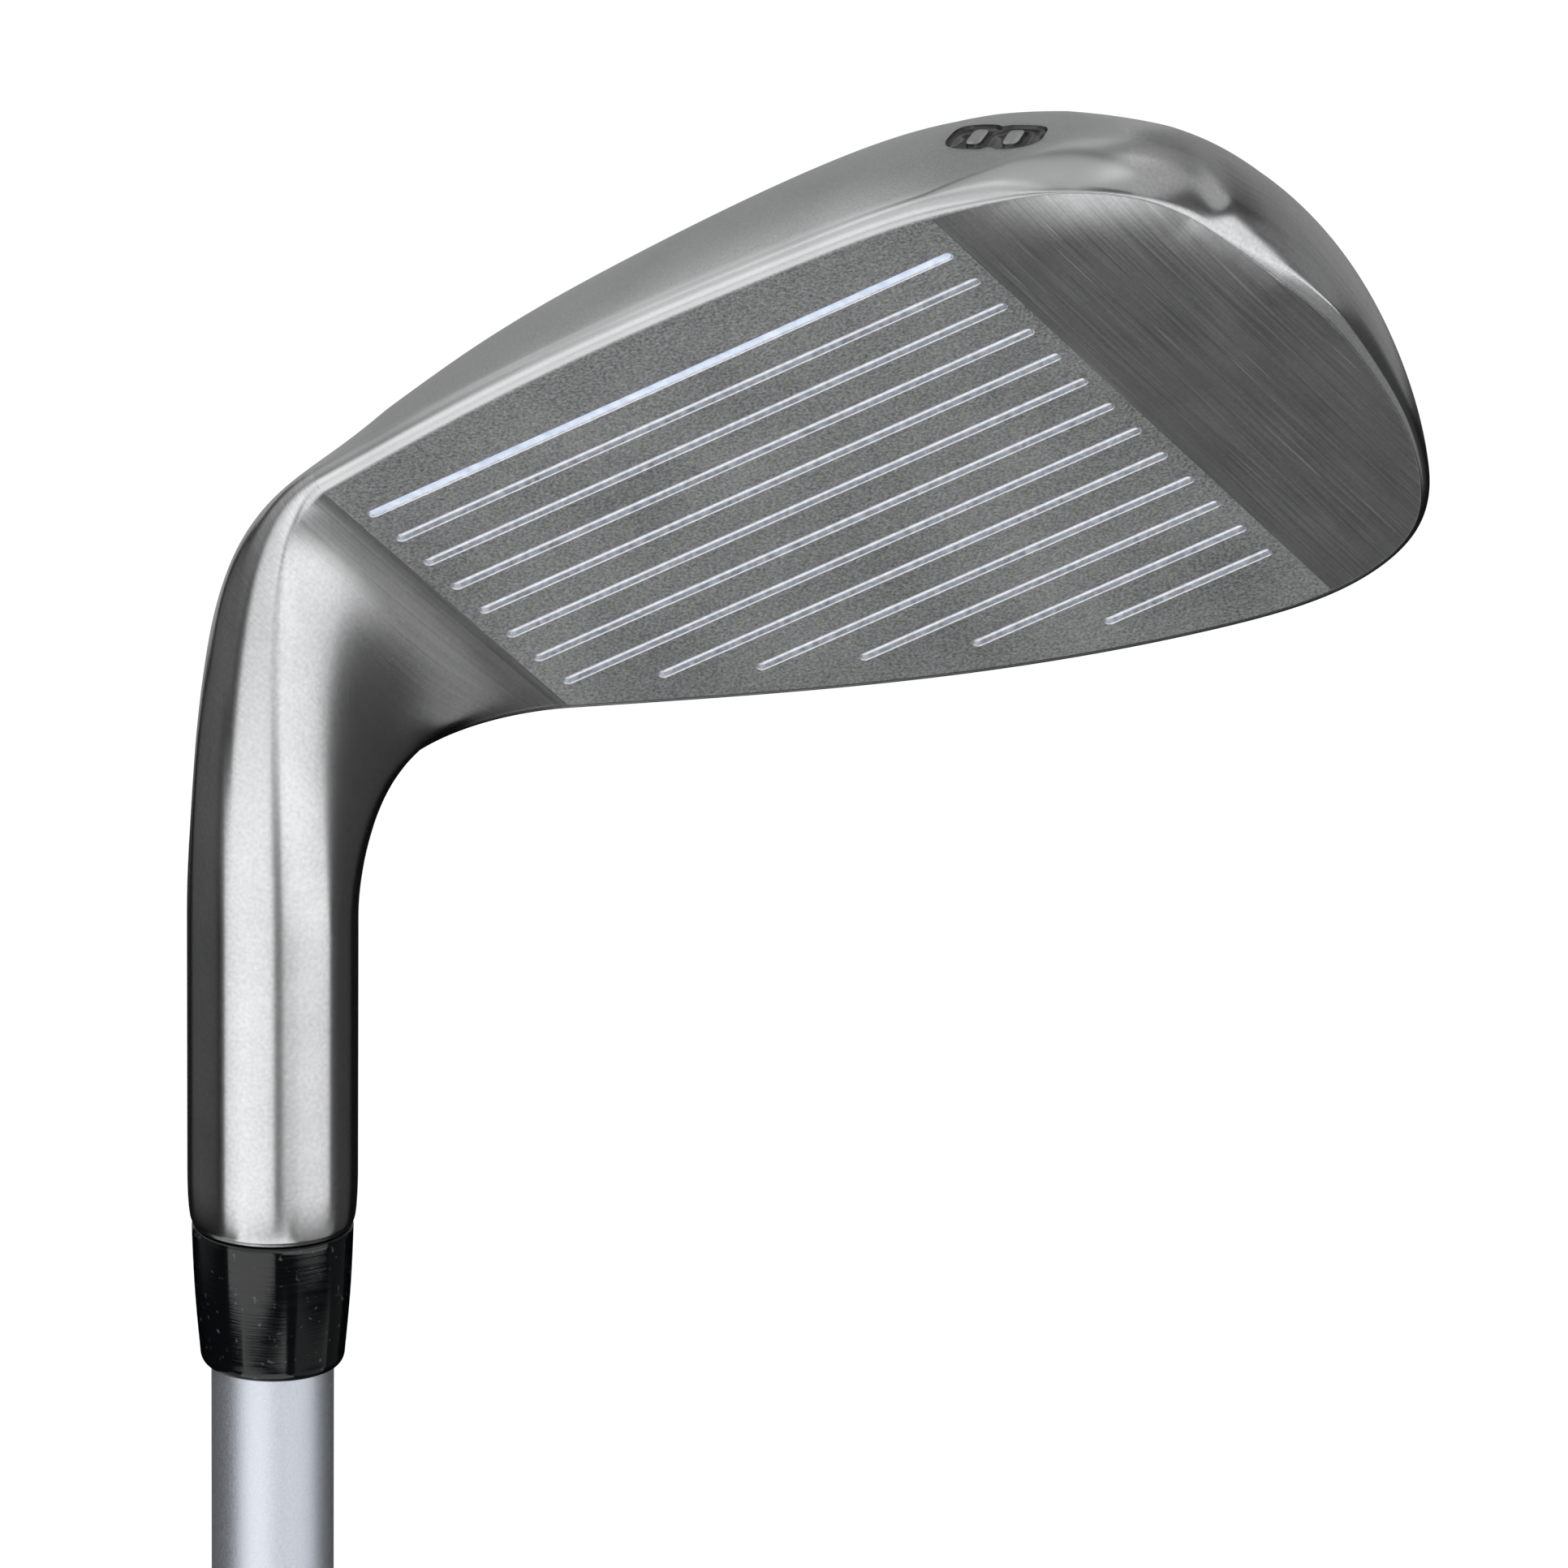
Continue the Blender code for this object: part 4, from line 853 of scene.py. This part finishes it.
TREAD_START = 16 * MM
TREAD_END = 230 * MM
TREAD_ROWS = 62
TREAD_ROUND = 20
tread_spots = []
tread_out = []
for row, height in enumerate(np.linspace(TREAD_START, TREAD_END, TREAD_ROWS)):
    turns = (np.arange(TREAD_ROUND) + 0.5 * (row % 2)) * 2 * math.pi / TREAD_ROUND
    out = np.stack((np.cos(turns), np.sin(turns), np.zeros_like(turns)), axis=1)
    tread_spots.append(out * grip_radius(height)[0] + (0, 0, GRIP_LOW + height))
    tread_out.append(out)
carrier = bpy.data.meshes.new("tread_spots")
carrier.from_pydata(np.vstack(tread_spots).tolist(), [], [])
out_marks = carrier.attributes.new("out", "FLOAT_VECTOR", "POINT")
out_marks.data.foreach_set("vector", np.vstack(tread_out).ravel())
tread = bpy.data.objects.new("tread", carrier)
bpy.context.scene.collection.objects.link(tread)

tread_tree = bpy.data.node_groups.new("tread", "GeometryNodeTree")
tread_tree.interface.new_socket("Geometry", in_out="INPUT", socket_type="NodeSocketGeometry")
for name in ("Half Length", "Half Width", "Height"):
    tread_tree.interface.new_socket(name, in_out="INPUT", socket_type="NodeSocketFloat")
tread_tree.interface.new_socket("Geometry", in_out="OUTPUT", socket_type="NodeSocketGeometry")
given = tread_tree.nodes.new("NodeGroupInput")
result = tread_tree.nodes.new("NodeGroupOutput")
lozenge = tread_tree.nodes.new("GeometryNodeMeshCone")
lozenge.inputs["Vertices"].default_value = 4
lozenge.inputs["Radius Top"].default_value = 0.55
lozenge.inputs["Radius Bottom"].default_value = 1.0
lozenge.inputs["Depth"].default_value = 2.0
out_way = tread_tree.nodes.new("GeometryNodeInputNamedAttribute")
out_way.data_type = "FLOAT_VECTOR"
out_way.inputs["Name"].default_value = "out"
stand_up = tread_tree.nodes.new("FunctionNodeAlignRotationToVector")
stand_up.axis = "Z"
lay_along = tread_tree.nodes.new("FunctionNodeAlignRotationToVector")
lay_along.axis = "X"
lay_along.pivot_axis = "Z"
lay_along.inputs["Vector"].default_value = (0, 0, 1)
sizes = tread_tree.nodes.new("ShaderNodeCombineXYZ")
scatter = tread_tree.nodes.new("GeometryNodeInstanceOnPoints")
realize = tread_tree.nodes.new("GeometryNodeRealizeInstances")
paint = tread_tree.nodes.new("GeometryNodeSetMaterial")
paint.inputs["Material"].default_value = grip_rubber
for one, other in (
    (given.outputs["Geometry"], scatter.inputs["Points"]),
    (lozenge.outputs["Mesh"], scatter.inputs["Instance"]),
    (out_way.outputs[0], stand_up.inputs["Vector"]),
    (stand_up.outputs["Rotation"], lay_along.inputs["Rotation"]),
    (lay_along.outputs["Rotation"], scatter.inputs["Rotation"]),
    (given.outputs["Half Length"], sizes.inputs["X"]),
    (given.outputs["Half Width"], sizes.inputs["Y"]),
    (given.outputs["Height"], sizes.inputs["Z"]),
    (sizes.outputs[0], scatter.inputs["Scale"]),
    (scatter.outputs["Instances"], realize.inputs["Geometry"]),
    (realize.outputs["Geometry"], paint.inputs["Geometry"]),
    (paint.outputs["Geometry"], result.inputs["Geometry"]),
):
    tread_tree.links.new(one, other)
maker = tread.modifiers.new("tread", "NODES")
maker.node_group = tread_tree
tread_sizes = {"Half Length": 1.5 * MM, "Half Width": 0.8 * MM, "Height": 0.16 * MM}
for item in tread_tree.interface.items_tree:
    if item.name in tread_sizes:
        maker[item.identifier] = tread_sizes[item.name]
made_tread = bpy.data.meshes.new_from_object(tread.evaluated_get(bpy.context.evaluated_depsgraph_get()))
bpy.data.objects.remove(tread)
grip_mesh.from_mesh(made_tread)
grip = piece_of(grip_mesh, "moulded_grip", (grip_rubber,))
sharpen(grip, 40)
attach(grip, "root")
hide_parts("grip")


# Grip cap. A harder moulded rubber cap with a vent hole and a fine ring, fused to the butt end of the grip.
CAP_LOW, CAP_HIGH = (corner.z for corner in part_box("grip_cap"))
CAP_RADIUS = 13.02 * MM
CAP_THICKNESS = 3.5 * MM
CAP_SKIRT_RADIUS = 10.22 * MM
CAP_VENT_RADIUS = 1.4 * MM
CAP_EDGE_ROUND = 1.2 * MM
edge_turn = np.linspace(0, math.pi / 2, 10)
cap_mesh = turned([
    (CAP_VENT_RADIUS, CAP_LOW + 0.4 * MM), (CAP_VENT_RADIUS + 0.4 * MM, CAP_LOW),
    (8.2 * MM, CAP_LOW), (8.35 * MM, CAP_LOW + 0.2 * MM),
    (8.75 * MM, CAP_LOW + 0.2 * MM), (8.9 * MM, CAP_LOW),
    *zip(CAP_RADIUS - CAP_EDGE_ROUND * (1 - np.sin(edge_turn)),
         CAP_LOW + CAP_EDGE_ROUND * (1 - np.cos(edge_turn))),
    (CAP_RADIUS, CAP_LOW + CAP_THICKNESS), (CAP_SKIRT_RADIUS, CAP_LOW + CAP_THICKNESS),
    (CAP_SKIRT_RADIUS, CAP_HIGH), (CAP_VENT_RADIUS, CAP_HIGH),
], 128)
cap_rubber, tree, shader = surface("cap_rubber", Roughness=0.5)
object_place = put(tree, "TexCoord").outputs["Object"]
pores = noise_on(tree, object_place, (0.3 * MM,) * 3, 3)
scuffs = noise_on(tree, object_place, (3 * MM,) * 3, 4)
tree.links.new(ramp(tree, scuffs, (0.016, 0.016, 0.017), (0.04, 0.04, 0.041)), shader.inputs["Base Color"])
tree.links.new(spread_to(tree, scuffs, 0.42, 0.62), shader.inputs["Roughness"])
bump(tree, shader, pores, 0.02 * MM)
grip_cap = piece_of(cap_mesh, "vented_cap", (cap_rubber,))
sharpen(grip_cap, 40)
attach(grip_cap, "root")
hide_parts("grip_cap")


# Studio. A wide pale floor, soft panels round the club that only the steel sees, and the camera of the
# photograph, which looks a little down on the face from the toe's side.
FLOOR_HALF = 250.0
floor_mesh = bmesh.new()
corners = ((-1, -1), (1, -1), (1, 1), (-1, 1))
floor_mesh.faces.new([floor_mesh.verts.new((x * FLOOR_HALF, y * FLOOR_HALF, 0)) for x, y in corners])
pale_floor, tree, shader = surface("pale_floor", Roughness=0.9, Specular_IOR_Level=0.1)
object_place = put(tree, "TexCoord").outputs["Object"]
paper = noise_on(tree, object_place, (0.3, 0.3, 0.3), 2)
tree.links.new(ramp(tree, paper, (0.86, 0.86, 0.86), (0.88, 0.88, 0.88)), shader.inputs["Base Color"])
floor = piece_of(floor_mesh, "floor", (pale_floor,))
floor.visible_glossy = False
floor.visible_shadow = False

world = bpy.data.worlds.new("pale_room")
bpy.context.scene.world = world
world.use_nodes = True
world.node_tree.nodes["Background"].inputs["Color"].default_value = (1, 1, 1, 1)
world.node_tree.nodes["Background"].inputs["Strength"].default_value = 1.15
world.cycles_visibility.glossy = False

PANEL_CENTRE = Vector((0.03, 0.0, 0.9))


def panel(name, azimuth, elevation, width, height, distance, brightness, dip=0):
    """Soft light that faces the head, its azimuth turned from the face to the toe, that end dipped."""
    light = bpy.data.lights.new(name, "AREA")
    light.shape = "RECTANGLE"
    light.size = width
    light.size_y = height
    light.energy = brightness * math.pi * width * height
    made = bpy.data.objects.new(name, light)
    turn, rise = math.radians(azimuth), math.radians(elevation)
    towards = Vector((math.sin(turn) * math.cos(rise), -math.cos(turn) * math.cos(rise), math.sin(rise)))
    made.location = PANEL_CENTRE + towards * distance
    level = towards.to_track_quat("Z", "Y").to_matrix()
    made.rotation_euler = (level @ Matrix.Rotation(-math.radians(dip), 3, "Z")).to_euler()
    made.visible_camera = False
    bpy.context.scene.collection.objects.link(made)
    return made


panel("left_softbox", -12.75, -19, 1.64, 0.56, 1.3, 1.65)
panel("left_high_softbox", -9, 12.5, 1.89, 0.92, 1.3, 1.05)
panel("right_softbox", 68, -17, 1.74, 0.35, 1.3, 1.8, dip=4)
panel("right_high_softbox", 65, 6.4, 2.05, 0.71, 1.3, 1.4)
panel("front_top_softbox", -12, 48, 1.8, 0.75, 1.3, 0.8)
panel("right_top_softbox", 105, 53, 1.7, 0.9, 1.3, 0.55)
panel("left_edge_softbox", -72, 18, 1.1, 0.45, 1.3, 0.4)
panel("sole_softbox", -85, 40, 2.0, 0.6, 1.3, 0.92)
panel("right_low_fill", 88, -42.5, 1.3, 0.56, 1.3, 0.34)
panel("toe_fill", 136, 9, 0.9, 0.36, 1.3, 0.25)
panel("low_front_panel", 5, -54, 1.3, 0.74, 1.1, 1.4)
panel("low_left_panel", -97, -66, 1.5, 0.8, 1.2, 0.4)
panel("under_panel", 0, -89, 0.8, 0.8, 0.8, 0.06)
panel("back_softbox", -148, 20, 1.3, 2.4, 1.6, 0.42)
panel("back_high_fill", 172, 42, 1.0, 1.2, 1.6, 0.35)
panel("back_fill", 174, 3, 1.0, 0.72, 1.6, 0.37)
panel("left_fill", -88, -5, 1.7, 1.1, 1.6, 0.12)
panel("right_fill", 130, 0, 1.2, 2.2, 1.6, 0.06)
panel("top_panel", -20, 82, 1.4, 1.4, 1.3, 0.65)

FRAME_SIZE = 1932
FOCAL_PIXELS = 20000
camera_data = bpy.data.cameras.new("photo_camera")
camera_data.sensor_fit = "HORIZONTAL"
camera_data.sensor_width = 36.0
camera_data.lens = 36.0 * FOCAL_PIXELS / FRAME_SIZE
camera_data.clip_end = 1000
camera = bpy.data.objects.new("photo_camera", camera_data)
bpy.context.scene.collection.objects.link(camera)
camera.location = Vector((0.4002546, -1.0651520, 0.3626201 + HEEL_OF_GROOVES[2]))
camera_axes = ((0.94611971, 0.32366029, 0.01007516),
               (-0.11256409, 0.29955401, 0.94741581),
               (0.30362282, -0.89750287, 0.31984648))
camera.rotation_euler = Matrix(camera_axes).transposed().to_euler()
bpy.context.scene.camera = camera
bpy.context.scene.view_settings.view_transform = "Standard"
